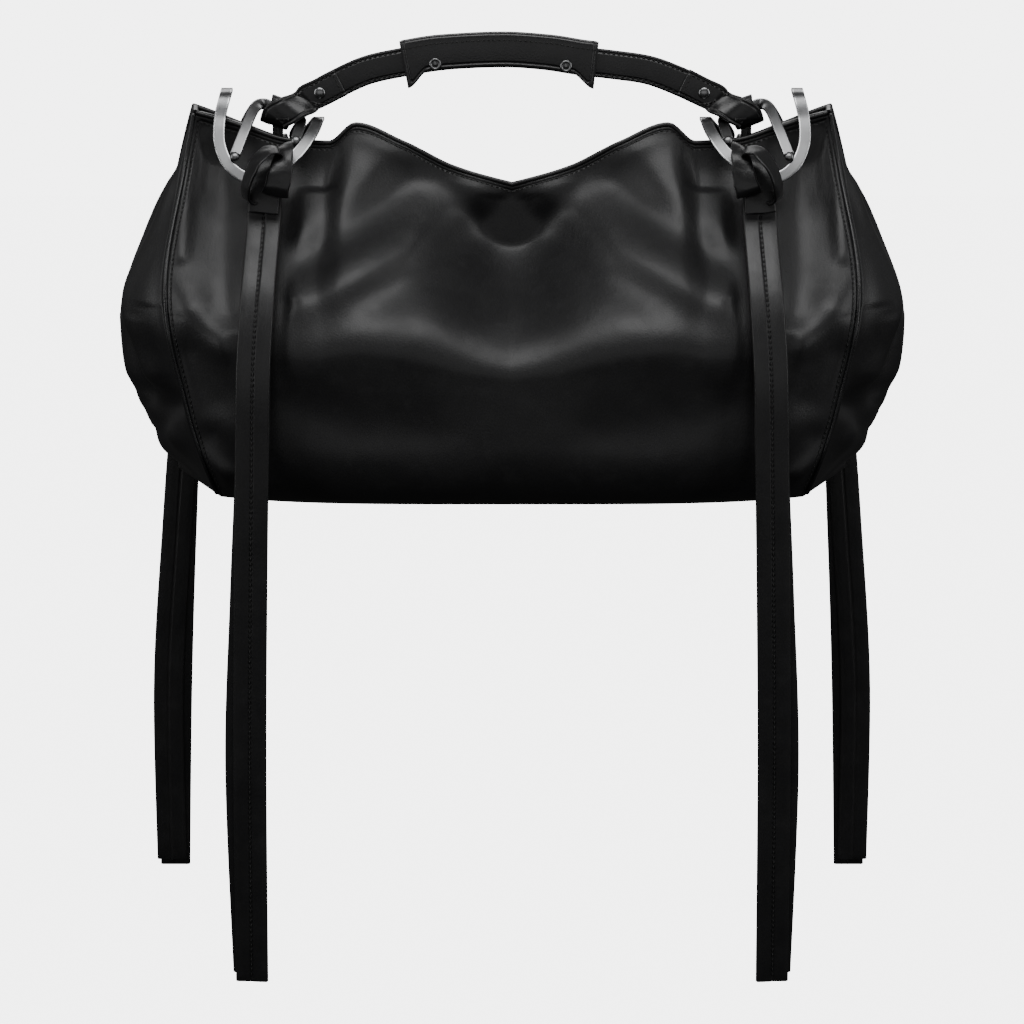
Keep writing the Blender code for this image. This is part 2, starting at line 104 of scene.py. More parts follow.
# The bag's seams and neckline, as (height, half-width) and (distance from the middle, height)
FRONT_WIDTHS = ((0, 0.168), (0.054, 0.184), (0.125, 0.1955), (0.187, 0.1876), (0.222, 0.182))
BACK_WIDTHS = ((0, 0.204), (0.045, 0.224), (0.097, 0.233), (0.159, 0.204), (0.222, 0.184))
NECKLINE = (
    (0, 0.176),
    (0.034, 0.1865),
    (0.062, 0.2005),
    (0.089, 0.2105),
    (0.103, 0.2),
    (0.126, 0.2015),
    (0.15, 0.2085),
    (0.182, 0.2175),
)
RIM_WIDTH = NECKLINE[-1][0]
BACK_DROP = 0.005
BULGE = 0.084
SEAM_DROP = 0.022
LIP_CENTRE = 0.0074
LIP_SIDE = 0.008
ROLL_HEIGHT = 0.036
ROLL_DEPTH = 0.018
GUSSET_BULGE = 0.009

# The saddle rings and the handle
BAR_X = 0.134
NECK_HEIGHT = 0.2245
RING_SLOPE = -0.35
LAYER_GAP = 0.0005


def at(x, y, height):
    return Vector((x, y, height - HANG_HEIGHT))


def smooth(t):
    t = min(1.0, max(0.0, t))
    return t * t * (3 - 2 * t)


def through(points, x):
    """A monotone cubic through (x, value) points."""
    slopes = [(b[1] - a[1]) / (b[0] - a[0]) for a, b in zip(points, points[1:])]
    tangents = [slopes[0]]
    for before, after in zip(slopes, slopes[1:]):
        tangents.append(0.0 if before * after <= 0 else 2 * before * after / (before + after))
    tangents.append(slopes[-1])
    x = min(max(x, points[0][0]), points[-1][0])
    for n, (a, b) in enumerate(zip(points, points[1:])):
        if x <= b[0]:
            width = b[0] - a[0]
            t = (x - a[0]) / width
            rise = a[1] * (2 * t**3 - 3 * t**2 + 1) + b[1] * (3 * t**2 - 2 * t**3)
            return rise + width * (tangents[n] * (t**3 - 2 * t**2 + t) + tangents[n + 1] * (t**3 - t**2))
    return points[-1][1]


def route(points, steps, closed=False):
    """A smooth curve through the points, with this many steps for each stretch."""
    points = [Vector(p) for p in points]
    count = len(points)
    found = []
    for n in range(count if closed else count - 1):
        if closed:
            a, b, c, d = (points[(n + k) % count] for k in (-1, 0, 1, 2))
        else:
            a, b, c, d = (points[min(max(n + k, 0), count - 1)] for k in (-1, 0, 1, 2))
        for k in range(steps):
            t = k / steps
            found.append(0.5 * (2 * b + (c - a) * t + (2 * a - 5 * b + 4 * c - d) * t**2 + (3 * b - a - 3 * c + d) * t**3))
    if not closed:
        found.append(points[-1].copy())
    return found


def spaced(points, pitch):
    """The same line as points about one pitch apart, with the direction at each."""
    lengths = [0.0]
    for a, b in zip(points, points[1:]):
        lengths.append(lengths[-1] + (b - a).length)
    count = max(2, round(lengths[-1] / pitch))
    found = []
    n = 0
    for k in range(count + 1):
        along = lengths[-1] * k / count
        while n < len(points) - 2 and lengths[n + 1] < along:
            n += 1
        t = (along - lengths[n]) / max(lengths[n + 1] - lengths[n], 1e-9)
        found.append((points[n].lerp(points[n + 1], t), (points[n + 1] - points[n]).normalized()))
    return found


def add_piece(name, verts, faces, look, attributes=(), sharp=None):
    """A mesh object in the row frame. attributes are (name, value for each vertex)."""
    data = bpy.data.meshes.new(name)
    data.from_pydata([tuple(v) for v in verts], [], faces)
    for label, values in attributes:
        data.attributes.new(label, "FLOAT", "POINT").data.foreach_set("value", np.array(values, np.float32))
    fixer = bmesh.new()
    fixer.from_mesh(data)
    bmesh.ops.recalc_face_normals(fixer, faces=fixer.faces)
    fixer.to_mesh(data)
    fixer.free()
    data.validate()
    data.shade_smooth()
    if sharp:
        data.set_sharp_from_angle(angle=radians(sharp))
    data.materials.append(look)
    made = bpy.data.objects.new(name, data)
    bpy.context.scene.collection.objects.link(made)
    return made


def rounded_section(width, thickness, radius, crown=0.0, steps=4, flats=6):
    """The outline of a flat strip as (across, out), with round edges and a face that crowns by this much."""
    outline = []
    for corner, (a, b) in enumerate(((1, 1), (-1, 1), (-1, -1), (1, -1))):
        for k in range(steps + 1):
            turn = pi / 2 * (corner + k / steps)
            across = a * (width / 2 - radius) + radius * cos(turn)
            outline.append((across, b * (thickness / 2 - radius) + radius * sin(turn)))
        if corner in (0, 2):
            for k in range(1, flats):
                across = (width / 2 - radius) * (1 - 2 * k / flats) * (1 if corner == 0 else -1)
                lift = crown * cos(pi * across / width)
                outline.append((across, (thickness / 2 + lift) * (1 if corner == 0 else -1)))
    return outline


def sweep(name, centres, sides, section, look, closed=False, scale=None, sharp=None):
    """A section swept along the centres. Each side vector points across the section. Stores where each vertex
    lies along and across the strip, in metres, for the finish to read."""
    count = len(centres)
    verts, along, across_at = [], [], []
    gone = 0.0
    for n, (centre, side) in enumerate(zip(centres, sides)):
        after = centres[(n + 1) % count] if closed else centres[min(n + 1, count - 1)]
        before = centres[n - 1] if closed else centres[max(n - 1, 0)]
        ahead = (after - before).normalized()
        across = (side - ahead * side.dot(ahead)).normalized()
        out = ahead.cross(across)
        if n:
            gone += (centre - centres[n - 1]).length
        grow = scale[n] if scale else 1.0
        for a, b in section:
            verts.append(centre + across * a * grow + out * b * grow)
            along.append(gone)
            across_at.append(a)
    size = len(section)
    faces = []
    for n in range(count if closed else count - 1):
        here, there = n * size, (n + 1) % count * size
        for k in range(size):
            m = (k + 1) % size
            faces.append((here + k, here + m, there + m, there + k))
    if not closed:
        faces.append(tuple(range(size)))
        faces.append(tuple(range((count - 1) * size, count * size)))
    return add_piece(name, verts, faces, look, (("along", along), ("across", across_at)), sharp)


def add_stitches(name, lines, settings, look):
    """Sewn thread: one small rounded grain for each stitch, half sunk in the leather. Each line is a list of
    points and a list of outward directions."""
    radius = settings.thread_width / 2
    grain = settings.stitch_pitch * 0.36
    verts, faces = [], []
    for points, outs in lines:
        total = len(points) - 1
        for n, (place, ahead) in enumerate(spaced(points, settings.stitch_pitch)):
            count = len(spaced(points, settings.stitch_pitch)) if n == 0 else count
            out = outs[min(total, round(n / max(count - 1, 1) * total))].normalized()
            side = ahead.cross(out).normalized()
            lean = (ahead + side * 0.12).normalized()
            base = len(verts)
            verts.append(place - lean * grain)
            for position, size in ((-0.72, 0.72), (0, 1), (0.72, 0.72)):
                for k in range(6):
                    turn = pi * k / 3
                    offset = side * cos(turn) * size + out * (sin(turn) * size * 0.9 + 0.25 * size)
                    verts.append(place + lean * grain * position + offset * radius)
            verts.append(place + lean * grain)
            for k in range(6):
                m = (k + 1) % 6
                faces.append((base, base + 1 + m, base + 1 + k))
                for r in (1, 7):
                    faces.append((base + r + k, base + r + m, base + r + 6 + m, base + r + 6 + k))
                faces.append((base + 13 + k, base + 13 + m, base + 19))
    return add_piece(name, verts, faces, look)


# ---------------------------------------------------------------- sizes and colours


class BagSizes(bpy.types.PropertyGroup):
    """Sizes of the leather, the thread and the steel."""

    leather: FloatProperty(name="Leather", description="Thickness of the body", default=0.0022, unit="LENGTH")
    fold_depth: FloatProperty(name="Folds", description="How deep the soft folds are, 1 as made", default=0.85)
    binding_width: FloatProperty(name="Binding", description="Width of the bound edge", default=0.0029, unit="LENGTH")
    handle_width: FloatProperty(name="Handle", description="Width of the handle", default=0.0165, unit="LENGTH")
    handle_thickness: FloatProperty(name="Handle layer", description="Each layer", default=0.0024, unit="LENGTH")
    strap_width: FloatProperty(name="Tail", description="Width of each strap tail", default=0.019, unit="LENGTH")
    strap_thickness: FloatProperty(name="Tail layer", description="Tail's thickness", default=0.0022, unit="LENGTH")
    ring_width: FloatProperty(name="Ring", description="Width of the flat steel", default=0.0066, unit="LENGTH")
    ring_thickness: FloatProperty(name="Ring stock", description="Its thickness", default=0.002, unit="LENGTH")
    stitch_pitch: FloatProperty(name="Stitch", description="Length of one stitch", default=0.003, unit="LENGTH")
    thread_width: FloatProperty(name="Thread", description="Thickness of the thread", default=0.0007, unit="LENGTH")
    grain: FloatProperty(name="Grain", description="Size of the leather's grain", default=0.0011, unit="LENGTH")


class BagColours(bpy.types.PropertyGroup):
    """Colours of the leather, the thread, the steel and the stage."""

    leather: FloatVectorProperty(name="Leather", description="Dyed face", subtype="COLOR", default=(0.0085, 0.0085, 0.0092))
    worn: FloatVectorProperty(name="Rubbed", description="Where it is rubbed", subtype="COLOR", default=(0.02, 0.02, 0.021))
    edge: FloatVectorProperty(name="Cut edge", description="Painted cut edge", subtype="COLOR", default=(0.014, 0.014, 0.0145))
    thread: FloatVectorProperty(name="Thread", description="Waxed thread", subtype="COLOR", default=(0.012, 0.012, 0.012))
    steel: FloatVectorProperty(name="Steel", description="Brushed steel", subtype="COLOR", default=(0.25, 0.252, 0.256))
    lining: FloatVectorProperty(name="Lining", description="Twill lining", subtype="COLOR", default=(0.022, 0.022, 0.026))
    board: FloatVectorProperty(name="Board", description="Base stiffener", subtype="COLOR", default=(0.05, 0.045, 0.04))
    floor: FloatVectorProperty(name="Floor", description="Pale stage", subtype="COLOR", default=(0.86, 0.86, 0.86))


# ---------------------------------------------------------------- finishes


class Wires:
    """Short words for the node trees below."""

    def __init__(self, tree):
        self.tree = tree

    def node(self, kind, inputs=(), **settings):
        made = self.tree.nodes.new(kind)
        for key, value in settings.items():
            setattr(made, key, value)
        for key, value in dict(inputs).items():
            if isinstance(value, bpy.types.NodeSocket):
                self.tree.links.new(value, made.inputs[key])
            else:
                made.inputs[key].default_value = value
        return made

    def maths(self, operation, a, b=0.0, c=0.0):
        return self.node("ShaderNodeMath", {0: a, 1: b, 2: c}, operation=operation).outputs[0]

    def remap(self, value, low, high, to_low=0.0, to_high=1.0):
        inputs = {"Value": value, "From Min": low, "From Max": high, "To Min": to_low, "To Max": to_high}
        return self.node("ShaderNodeMapRange", inputs, interpolation_type="SMOOTHSTEP").outputs["Result"]

    def blend(self, factor, a, b):
        made = self.node("ShaderNodeMix", {0: factor}, data_type="RGBA")
        for place, value in ((6, a), (7, b)):
            if isinstance(value, bpy.types.NodeSocket):
                self.tree.links.new(value, made.inputs[place])
            else:
                made.inputs[place].default_value = (*value, 1.0)
        return made.outputs[2]

    def attribute(self, name):
        return self.node("ShaderNodeAttribute", attribute_name=name).outputs["Fac"]

    def stretched(self, vector, scale):
        inputs = {"Vector": vector, "Scale": scale}
        return self.node("ShaderNodeMapping", inputs).outputs["Vector"]

    def noise(self, vector, scale, detail=2.0, roughness=0.5):
        inputs = {"Vector": vector, "Scale": scale, "Detail": detail, "Roughness": roughness}
        return self.node("ShaderNodeTexNoise", inputs).outputs["Fac"]


def new_group(name, inputs, outputs):
    """A shader node group with these number inputs and outputs, its input node and its output node."""
    tree = bpy.data.node_groups.new(name, "ShaderNodeTree")
    for label, value in inputs:
        tree.interface.new_socket(label, in_out="INPUT", socket_type="NodeSocketFloat").default_value = value
    for label in outputs:
        tree.interface.new_socket(label, in_out="OUTPUT", socket_type="NodeSocketFloat")
    wires = Wires(tree)
    return wires, wires.node("NodeGroupInput"), wires.node("NodeGroupOutput")


def grain_group():
    """Smooth hide: a fine pebble of rounded cells broken by creases, slow unevenness, and where rubbing shows."""
    found = bpy.data.node_groups.get("Hide Grain")
    if found:
        return found
    inputs = (("Grain Size", 0.0011), ("Crease Size", 0.012))
    wires, start, end = new_group("Hide Grain", inputs, ("Height", "Mottle", "Rub"))
    place = wires.node("ShaderNodeTexCoord").outputs["Object"]
    fine = wires.maths("DIVIDE", 1.0, start.outputs["Grain Size"])
    broad = wires.maths("DIVIDE", 1.0, start.outputs["Crease Size"])
    drift = wires.node("ShaderNodeTexNoise", {"Vector": place, "Scale": broad, "Detail": 2.0})
    bent = wires.node(
        "ShaderNodeVectorMath",
        {0: drift.outputs["Color"], "Scale": 0.0016},
        operation="SCALE",
    ).outputs[0]
    moved = wires.node("ShaderNodeVectorMath", {0: place, 1: bent}, operation="ADD").outputs[0]
    cells = wires.node(
        "ShaderNodeTexVoronoi",
        {"Vector": moved, "Scale": fine, "Smoothness": 0.4, "Randomness": 1.0},
        feature="SMOOTH_F1",
    ).outputs["Distance"]
    pores = wires.noise(moved, wires.maths("MULTIPLY", fine, 1.9), 2.0, 0.6)
    creases = wires.noise(wires.stretched(moved, (1.0, 1.0, 0.35)), wires.maths("MULTIPLY", broad, 3.0), 3.0, 0.55)
    height = wires.maths("MULTIPLY_ADD", cells, -0.6, wires.maths("MULTIPLY", pores, 0.35))
    height = wires.maths("MULTIPLY_ADD", creases, 1.3, height)
    slow = wires.noise(place, wires.maths("MULTIPLY", broad, 0.45), 3.0, 0.55)
    wires.tree.links.new(height, end.inputs["Height"])
    wires.tree.links.new(wires.remap(slow, 0.32, 0.7), end.inputs["Mottle"])
    wires.tree.links.new(wires.remap(wires.noise(place, broad, 4.0, 0.65), 0.5, 0.75), end.inputs["Rub"])
    return wires.tree


def line_group():
    """A shallow furrow pressed along a line of stitches, from each point's distance to the leather's edge."""
    found = bpy.data.node_groups.get("Stitch Furrow")
    if found:
        return found
    inputs = (("Distance", 0.0), ("Line", 0.0026), ("Half Width", 0.0011))
    wires, start, end = new_group("Stitch Furrow", inputs, ("Furrow", "Edge"))
    away = wires.maths("ABSOLUTE", wires.maths("SUBTRACT", start.outputs["Distance"], start.outputs["Line"]))
    share = wires.maths("DIVIDE", away, start.outputs["Half Width"])
    wires.tree.links.new(wires.remap(share, 0.0, 1.0, 1.0, 0.0), end.inputs["Furrow"])
    rim = wires.maths("DIVIDE", start.outputs["Distance"], start.outputs["Line"])
    wires.tree.links.new(wires.remap(rim, 0.0, 0.5, 1.0, 0.0), end.inputs["Edge"])
    return wires.tree


def brushed_group():
    """Fine scratches that run along the strip, in their own two directions."""
    found = bpy.data.node_groups.get("Brushed Lines")
    if found:
        return found
    inputs = (("Along", 0.0), ("Across", 0.0), ("Line Width", 0.00012))
    wires, start, end = new_group("Brushed Lines", inputs, ("Lines", "Smear"))
    across = wires.maths("DIVIDE", start.outputs["Across"], start.outputs["Line Width"])
    along = wires.maths("MULTIPLY", start.outputs["Along"], 220.0)
    place = wires.node("ShaderNodeCombineXYZ", {"X": along, "Y": across, "Z": 0.0}).outputs[0]
    wires.tree.links.new(wires.noise(place, 1.0, 3.0, 0.7), end.inputs["Lines"])
    slow = wires.node("ShaderNodeCombineXYZ", {"X": along, "Y": wires.maths("MULTIPLY", across, 0.05)}).outputs[0]
    wires.tree.links.new(wires.noise(slow, 0.5, 2.0, 0.5), end.inputs["Smear"])
    return wires.tree


def new_finish(name):
    made = bpy.data.materials.new(name)
    made.use_nodes = True
    wires = Wires(made.node_tree)
    return made, wires, made.node_tree.nodes["Principled BSDF"]


def place_group(wires, tree, inputs=()):
    made = wires.node("ShaderNodeGroup", node_tree=tree)
    for key, value in dict(inputs).items():
        if isinstance(value, bpy.types.NodeSocket):
            wires.tree.links.new(value, made.inputs[key])
        else:
            made.inputs[key].default_value = value
    return made.outputs


def leather_finish(name, sizes, colours, roughness=0.42, furrow_line=0.0, relief=0.00016, half_width=0.0):
    """Dyed hide with a satin face. With a furrow line it presses the leather down along the stitches."""
    found = bpy.data.materials.get(name)
    if found:
        return found
    made, wires, shader = new_finish(name)
    grain = place_group(wires, grain_group(), {"Grain Size": sizes.grain, "Crease Size": 0.011})
    colour = wires.blend(wires.maths("MULTIPLY", grain["Rub"], 0.22), colours.leather, colours.worn)
    height = wires.maths("MULTIPLY", grain["Height"], 0.42)
    rough = wires.maths("MULTIPLY_ADD", grain["Mottle"], 0.09, roughness - 0.04)
    rough = wires.maths("MULTIPLY_ADD", grain["Rub"], 0.05, rough)
    if furrow_line:
        distance = wires.attribute("edge_distance")
        if half_width:
            distance = wires.maths("SUBTRACT", half_width, wires.maths("ABSOLUTE", wires.attribute("across")))
        lines = place_group(wires, line_group(), {"Distance": distance, "Line": furrow_line})
        height = wires.maths("MULTIPLY_ADD", lines["Furrow"], -2.6, height)
        height = wires.maths("MULTIPLY_ADD", lines["Edge"], -1.2, height)
        colour = wires.blend(wires.maths("MULTIPLY", lines["Edge"], 0.6), colour, colours.edge)
        rough = wires.maths("MULTIPLY_ADD", lines["Furrow"], 0.08, rough)
    bump = wires.node("ShaderNodeBump", {"Height": height, "Distance": relief, "Strength": 1.0}).outputs["Normal"]
    wires.tree.links.new(colour, shader.inputs["Base Color"])
    wires.tree.links.new(rough, shader.inputs["Roughness"])
    wires.tree.links.new(bump, shader.inputs["Normal"])
    shader.inputs["Specular IOR Level"].default_value = 0.5
    shader.inputs["Coat Weight"].default_value = 0.06
    shader.inputs["Coat Roughness"].default_value = 0.22
    return made


def steel_finish(sizes, colours):
    """Flat steel brushed along its length, its edges rubbed smoother, with a painted highlight along them."""
    found = bpy.data.materials.get("Brushed Steel")
    if found:
        return found
    made, wires, shader = new_finish("Brushed Steel")
    across = wires.attribute("across")
    lines = place_group(wires, brushed_group(), {"Along": wires.attribute("along"), "Across": across})
    half = sizes.ring_width / 2
    rim = wires.remap(wires.maths("ABSOLUTE", across), half - 0.0011, half - 0.0003)
    dark = tuple(0.62 * c for c in colours.steel)
    colour = wires.blend(wires.maths("MULTIPLY", lines["Lines"], 0.7), colours.steel, dark)
    # painted highlight: the steel's colour is lifted to 2.6 times along both edges, on top of the real polish in the
    # roughness
    colour = wires.blend(wires.maths("MULTIPLY", rim, 0.8), colour, tuple(min(1, 2.6 * c) for c in colours.steel))
    rough = wires.maths("MULTIPLY_ADD", lines["Lines"], 0.16, 0.2)
    rough = wires.maths("MULTIPLY_ADD", lines["Smear"], 0.08, rough)
    rough = wires.maths("MULTIPLY_ADD", rim, -0.12, rough)
    bump = wires.node("ShaderNodeBump", {"Height": lines["Lines"], "Distance": 0.00003}).outputs["Normal"]
    wires.tree.links.new(colour, shader.inputs["Base Color"])
    wires.tree.links.new(rough, shader.inputs["Roughness"])
    wires.tree.links.new(bump, shader.inputs["Normal"])
    shader.inputs["Metallic"].default_value = 1.0
    return made


def polished_finish(colours):
    """Turned steel for the small rivets: polished, with the dull film that handling leaves."""
    found = bpy.data.materials.get("Polished Steel")
    if found:
        return found
    made, wires, shader = new_finish("Polished Steel")
    place = wires.node("ShaderNodeTexCoord").outputs["Object"]
    film = wires.noise(place, 900.0, 3.0, 0.6)
    dark = tuple(0.7 * c for c in colours.steel)
    wires.tree.links.new(wires.blend(wires.maths("MULTIPLY", film, 0.5), colours.steel, dark), shader.inputs["Base Color"])
    wires.tree.links.new(wires.maths("MULTIPLY_ADD", film, 0.22, 0.14), shader.inputs["Roughness"])
    bump = wires.node("ShaderNodeBump", {"Height": film, "Distance": 0.00002}).outputs["Normal"]
    wires.tree.links.new(bump, shader.inputs["Normal"])
    shader.inputs["Metallic"].default_value = 1.0
    return made


def thread_finish(sizes, colours):
    """Waxed thread with a fine twist, its ridges given a painted highlight."""
    found = bpy.data.materials.get("Waxed Thread")
    if found:
        return found
    made, wires, shader = new_finish("Waxed Thread")
    place = wires.node("ShaderNodeTexCoord").outputs["Object"]
    twist = wires.node(
        "ShaderNodeTexWave", {"Vector": place, "Scale": 1200.0, "Distortion": 3.0}, bands_direction="DIAGONAL"
    ).outputs["Fac"]
    lit = tuple(2.2 * c for c in colours.thread)
    # painted highlight: the twist's ridges are coloured 2.2 times lighter
    wires.tree.links.new(wires.blend(wires.maths("MULTIPLY", twist, 0.5), colours.thread, lit), shader.inputs["Base Color"])
    wires.tree.links.new(wires.maths("MULTIPLY_ADD", twist, 0.15, 0.42), shader.inputs["Roughness"])
    bump = wires.node("ShaderNodeBump", {"Height": twist, "Distance": 0.00008}).outputs["Normal"]
    wires.tree.links.new(bump, shader.inputs["Normal"])
    return made


def lining_finish(colours):
    """Matt twill: fine diagonal ribs of yarn, their crowns given a painted highlight."""
    found = bpy.data.materials.get("Twill Lining")
    if found:
        return found
    made, wires, shader = new_finish("Twill Lining")
    place = wires.node("ShaderNodeTexCoord").outputs["Object"]
    ribs = wires.node(
        "ShaderNodeTexWave", {"Vector": place, "Scale": 320.0, "Distortion": 0.6, "Detail": 1.0}, bands_direction="DIAGONAL"
    ).outputs["Fac"]
    fuzz = wires.noise(place, 1600.0, 2.0, 0.6)
    height = wires.maths("MULTIPLY_ADD", fuzz, 0.4, ribs)
    lit = tuple(1.9 * c for c in colours.lining)
    # painted highlight: the ribs are coloured 1.9 times lighter
    wires.tree.links.new(wires.blend(wires.maths("MULTIPLY", ribs, 0.6), colours.lining, lit), shader.inputs["Base Color"])
    wires.tree.links.new(wires.maths("MULTIPLY_ADD", fuzz, 0.12, 0.78), shader.inputs["Roughness"])
    bump = wires.node("ShaderNodeBump", {"Height": height, "Distance": 0.0002}).outputs["Normal"]
    wires.tree.links.new(bump, shader.inputs["Normal"])
    shader.inputs["Sheen Weight"].default_value = 0.25
    return made


def board_finish(colours):
    """Pressed fibre board with flecks."""
    found = bpy.data.materials.get("Fibre Board")
    if found:
        return found
    made, wires, shader = new_finish("Fibre Board")
    place = wires.node("ShaderNodeTexCoord").outputs["Object"]
    flecks = wires.noise(wires.stretched(place, (1.0, 3.0, 1.0)), 420.0, 4.0, 0.7)
    lit = tuple(1.8 * c for c in colours.board)
    wires.tree.links.new(wires.blend(flecks, colours.board, lit), shader.inputs["Base Color"])
    wires.tree.links.new(wires.maths("MULTIPLY_ADD", flecks, 0.1, 0.8), shader.inputs["Roughness"])
    bump = wires.node("ShaderNodeBump", {"Height": flecks, "Distance": 0.0001}).outputs["Normal"]
    wires.tree.links.new(bump, shader.inputs["Normal"])
    return made


# ---------------------------------------------------------------- the body's form

# Folds as (line of (distance from the middle, height) points, half-width, rise). A rise below 0 is a hollow.
SHARED_FOLDS = (
    (((0.022, 0.170), (0.0534, 0.1464), (0.0732, 0.1373), (0.114, 0.1165)), 0.0118, 0.0052),
    (((0.0684, 0.1975), (0.0978, 0.1734), (0.1205, 0.1524)), 0.0130, 0.0042),
    (((0.058, 0.178), (0.088, 0.1545), (0.113, 0.137)), 0.0085, -0.0028),
    (((0.028, 0.146), (0.058, 0.128), (0.098, 0.110)), 0.0110, -0.0030),
    (((0.0, 0.110), (0.0445, 0.0983), (0.0871, 0.0927), (0.118, 0.0841)), 0.0180, 0.0026),
)
FRONT_FOLDS = SHARED_FOLDS + (
    (((0.170, 0.205), (0.1688, 0.180), (0.166, 0.150), (0.162, 0.112)), 0.0120, -0.0085),
    (((0.184, 0.200), (0.1862, 0.170), (0.187, 0.140)), 0.0045, 0.0026),
    (((0.0, 0.158), (0.008, 0.138), (0.0190, 0.115)), 0.0120, -0.0040),
    (((0.0, 0.172), (0.0, 0.147)), 0.0026, -0.0016),
    (((0.1777, 0.1088), (0.1519, 0.0861)), 0.0098, 0.0052),
    (((0.183, 0.085), (0.170, 0.060)), 0.0090, -0.0036),
    (((0.175, 0.027), (0.1621, 0.0155)), 0.0040, 0.0034),
    (((0.169, 0.038), (0.150, 0.022)), 0.0070, -0.0034),
    (((0.116, 0.060), (0.090, 0.048), (0.050, 0.046)), 0.0120, -0.0022),
)
BACK_FOLDS = SHARED_FOLDS + (
    (((0.150, 0.190), (0.146, 0.160), (0.140, 0.128)), 0.0110, -0.0080),
    (((0.0, 0.155), (0.010, 0.138), (0.024, 0.116)), 0.0085, -0.0060),
    (((0.215, 0.130), (0.205, 0.105)), 0.0090, 0.0040),
    (((0.165, 0.070), (0.120, 0.056), (0.070, 0.052)), 0.0130, -0.0030),
    (((0.180, 0.030), (0.150, 0.022)), 0.0060, 0.0024),
)
# The gusset's, as (distance back from the front seam, height)
GUSSET_FOLDS = (
    (((0.030, 0.112), (0.048, 0.090), (0.052, 0.034)), 0.0210, 0.0105),
    (((0.004, 0.057), (0.050, 0.054), (0.110, 0.057)), 0.0060, -0.0045),
    (((0.006, 0.190), (0.022, 0.150), (0.034, 0.110), (0.030, 0.070)), 0.0075, 0.0055),
    (((0.020, 0.188), (0.044, 0.150), (0.056, 0.105), (0.050, 0.062)), 0.0070, -0.0070),
    (((0.040, 0.175), (0.070, 0.140), (0.086, 0.100), (0.074, 0.052)), 0.0095, 0.0055),
    (((0.085, 0.150), (0.108, 0.115), (0.112, 0.080)), 0.0080, -0.0045),
    (((0.018, 0.060), (0.052, 0.036), (0.100, 0.052)), 0.0075, -0.0050),
    (((0.030, 0.030), (0.070, 0.018), (0.105, 0.030)), 0.0080, 0.0035),
)
# Where the tails lie against the body, as (height, distance from the middle)
FRONT_TAIL_LINE = ((0.0, 0.1455), (0.08, 0.1435), (0.118, 0.1415), (0.158, 0.1395))
BACK_TAIL_LINE = ((0.0, 0.206), (0.03, 0.203), (0.08, 0.192), (0.118, 0.178), (0.158, 0.165))
WALL_COLUMNS = 156
GUSSET_COLUMNS = 52
ROWS = 104
LEAST_DEPTH = 0.0062  # how near the middle plane a wall may come
BODY = {}


def rim_height(across, back):
    """Height of the neckline. across runs from -1 at the left corner to 1 at the right."""
    height = through(NECKLINE, abs(across) * RIM_WIDTH)
    if back:
        height -= BACK_DROP * (1 - smooth((abs(across) - 0.45) / 0.3))
        height += 0.003 * smooth((abs(across) - 0.75) / 0.25)
    return height


def wall_point(across, height, back):
    """A point on the outside of the front or the back, before its folds."""
    rim = rim_height(across, back)
    lip = LIP_CENTRE + (LIP_SIDE - LIP_CENTRE) * smooth(abs(across) / 0.4)
    belly = BULGE - SEAM_DROP * across**4
    end = 0.84 + 0.16 * smooth(abs(across) / 0.3)
    depth = belly + (lip - belly) * smooth((height / rim - 0.42) / (end - 0.42))
    roll = max(0.0, 1 - height / ROLL_HEIGHT)
    depth -= ROLL_DEPTH * (1 - sqrt(1 - roll**2))
    width = through(BACK_WIDTHS if back else FRONT_WIDTHS, height)
    return at(across * width, depth if back else -depth, height)


def side_point(side, t, height):
    """A point on the gusset before its folds. t runs from 0 at the front seam to 1 at the back seam."""
    front = wall_point(side, height * rim_height(1, False), False)
    back = wall_point(side, height * rim_height(1, True), True)
    full = min(1.0, height * 6) * (1 - smooth((height - 0.6) / 0.4))
    bulge = GUSSET_BULGE * full * (0.9 * sin(pi * t) + 0.35 * sin(3 * pi * t) ** 2)
    return front.lerp(back, t) + Vector((side * bulge, 0, 0))


def fold_rise(folds, out, height):
    """How far the folds lift each point of arrays of distances and heights. A fold is steeper on its low side."""
    rise = np.zeros_like(out)
    for line, half_width, lift in folds:
        points = [Vector((a, b, 0)) for a, b in line]
        points = np.array([(p.x, p.y) for p in route(points, 6)])
        nearest = np.full(out.shape, 1e9)
        below = np.zeros(out.shape, bool)
        for a, b in zip(points, points[1:]):
            step = b - a
            t = ((out - a[0]) * step[0] + (height - a[1]) * step[1]) / (step @ step)
            t = np.clip(t, 0, 1)
            gap_out = out - a[0] - t * step[0]
            gap_up = height - a[1] - t * step[1]
            gap = np.hypot(gap_out, gap_up)
            closer = gap < nearest
            nearest = np.where(closer, gap, nearest)
            below = np.where(closer, gap_up < 0, below)
        width = half_width * np.where(below & (lift > 0), 0.95, 1.35)
        rise += lift * np.exp(-((nearest / width) ** 2))
    return rise


def smooth_array(t):
    t = np.clip(t, 0, 1)
    return t * t * (3 - 2 * t)


def wall_rise(out, height, rim, to_seam, back):
    """The folds of the front or back, flattened where the tails and rings lie and towards every edge."""
    rise = fold_rise(BACK_FOLDS if back else FRONT_FOLDS, out, height)
    tail = BACK_TAIL_LINE if back else FRONT_TAIL_LINE
    tail_x = np.interp(height, [h for h, _ in tail], [x for _, x in tail])
    clear = smooth_array((np.abs(out - tail_x) - 0.0115) / 0.009)
    clear = np.where(height > 0.175, np.minimum(clear, smooth_array((0.108 - out) / 0.01)), clear)
    rise = np.where(rise > 0, rise * clear, rise)
    rise *= smooth_array(to_seam / 0.007)
    rise *= smooth_array((rim - height + 0.002) / 0.012)
    return rise * smooth_array(height / 0.012)


def wrinkles(place):
    """Slow unevenness of a soft hide."""
    broad = noise.noise(place * 28) * 0.0005
    return broad + noise.noise(place * 75 + Vector((3, 7, 1))) * 0.00013


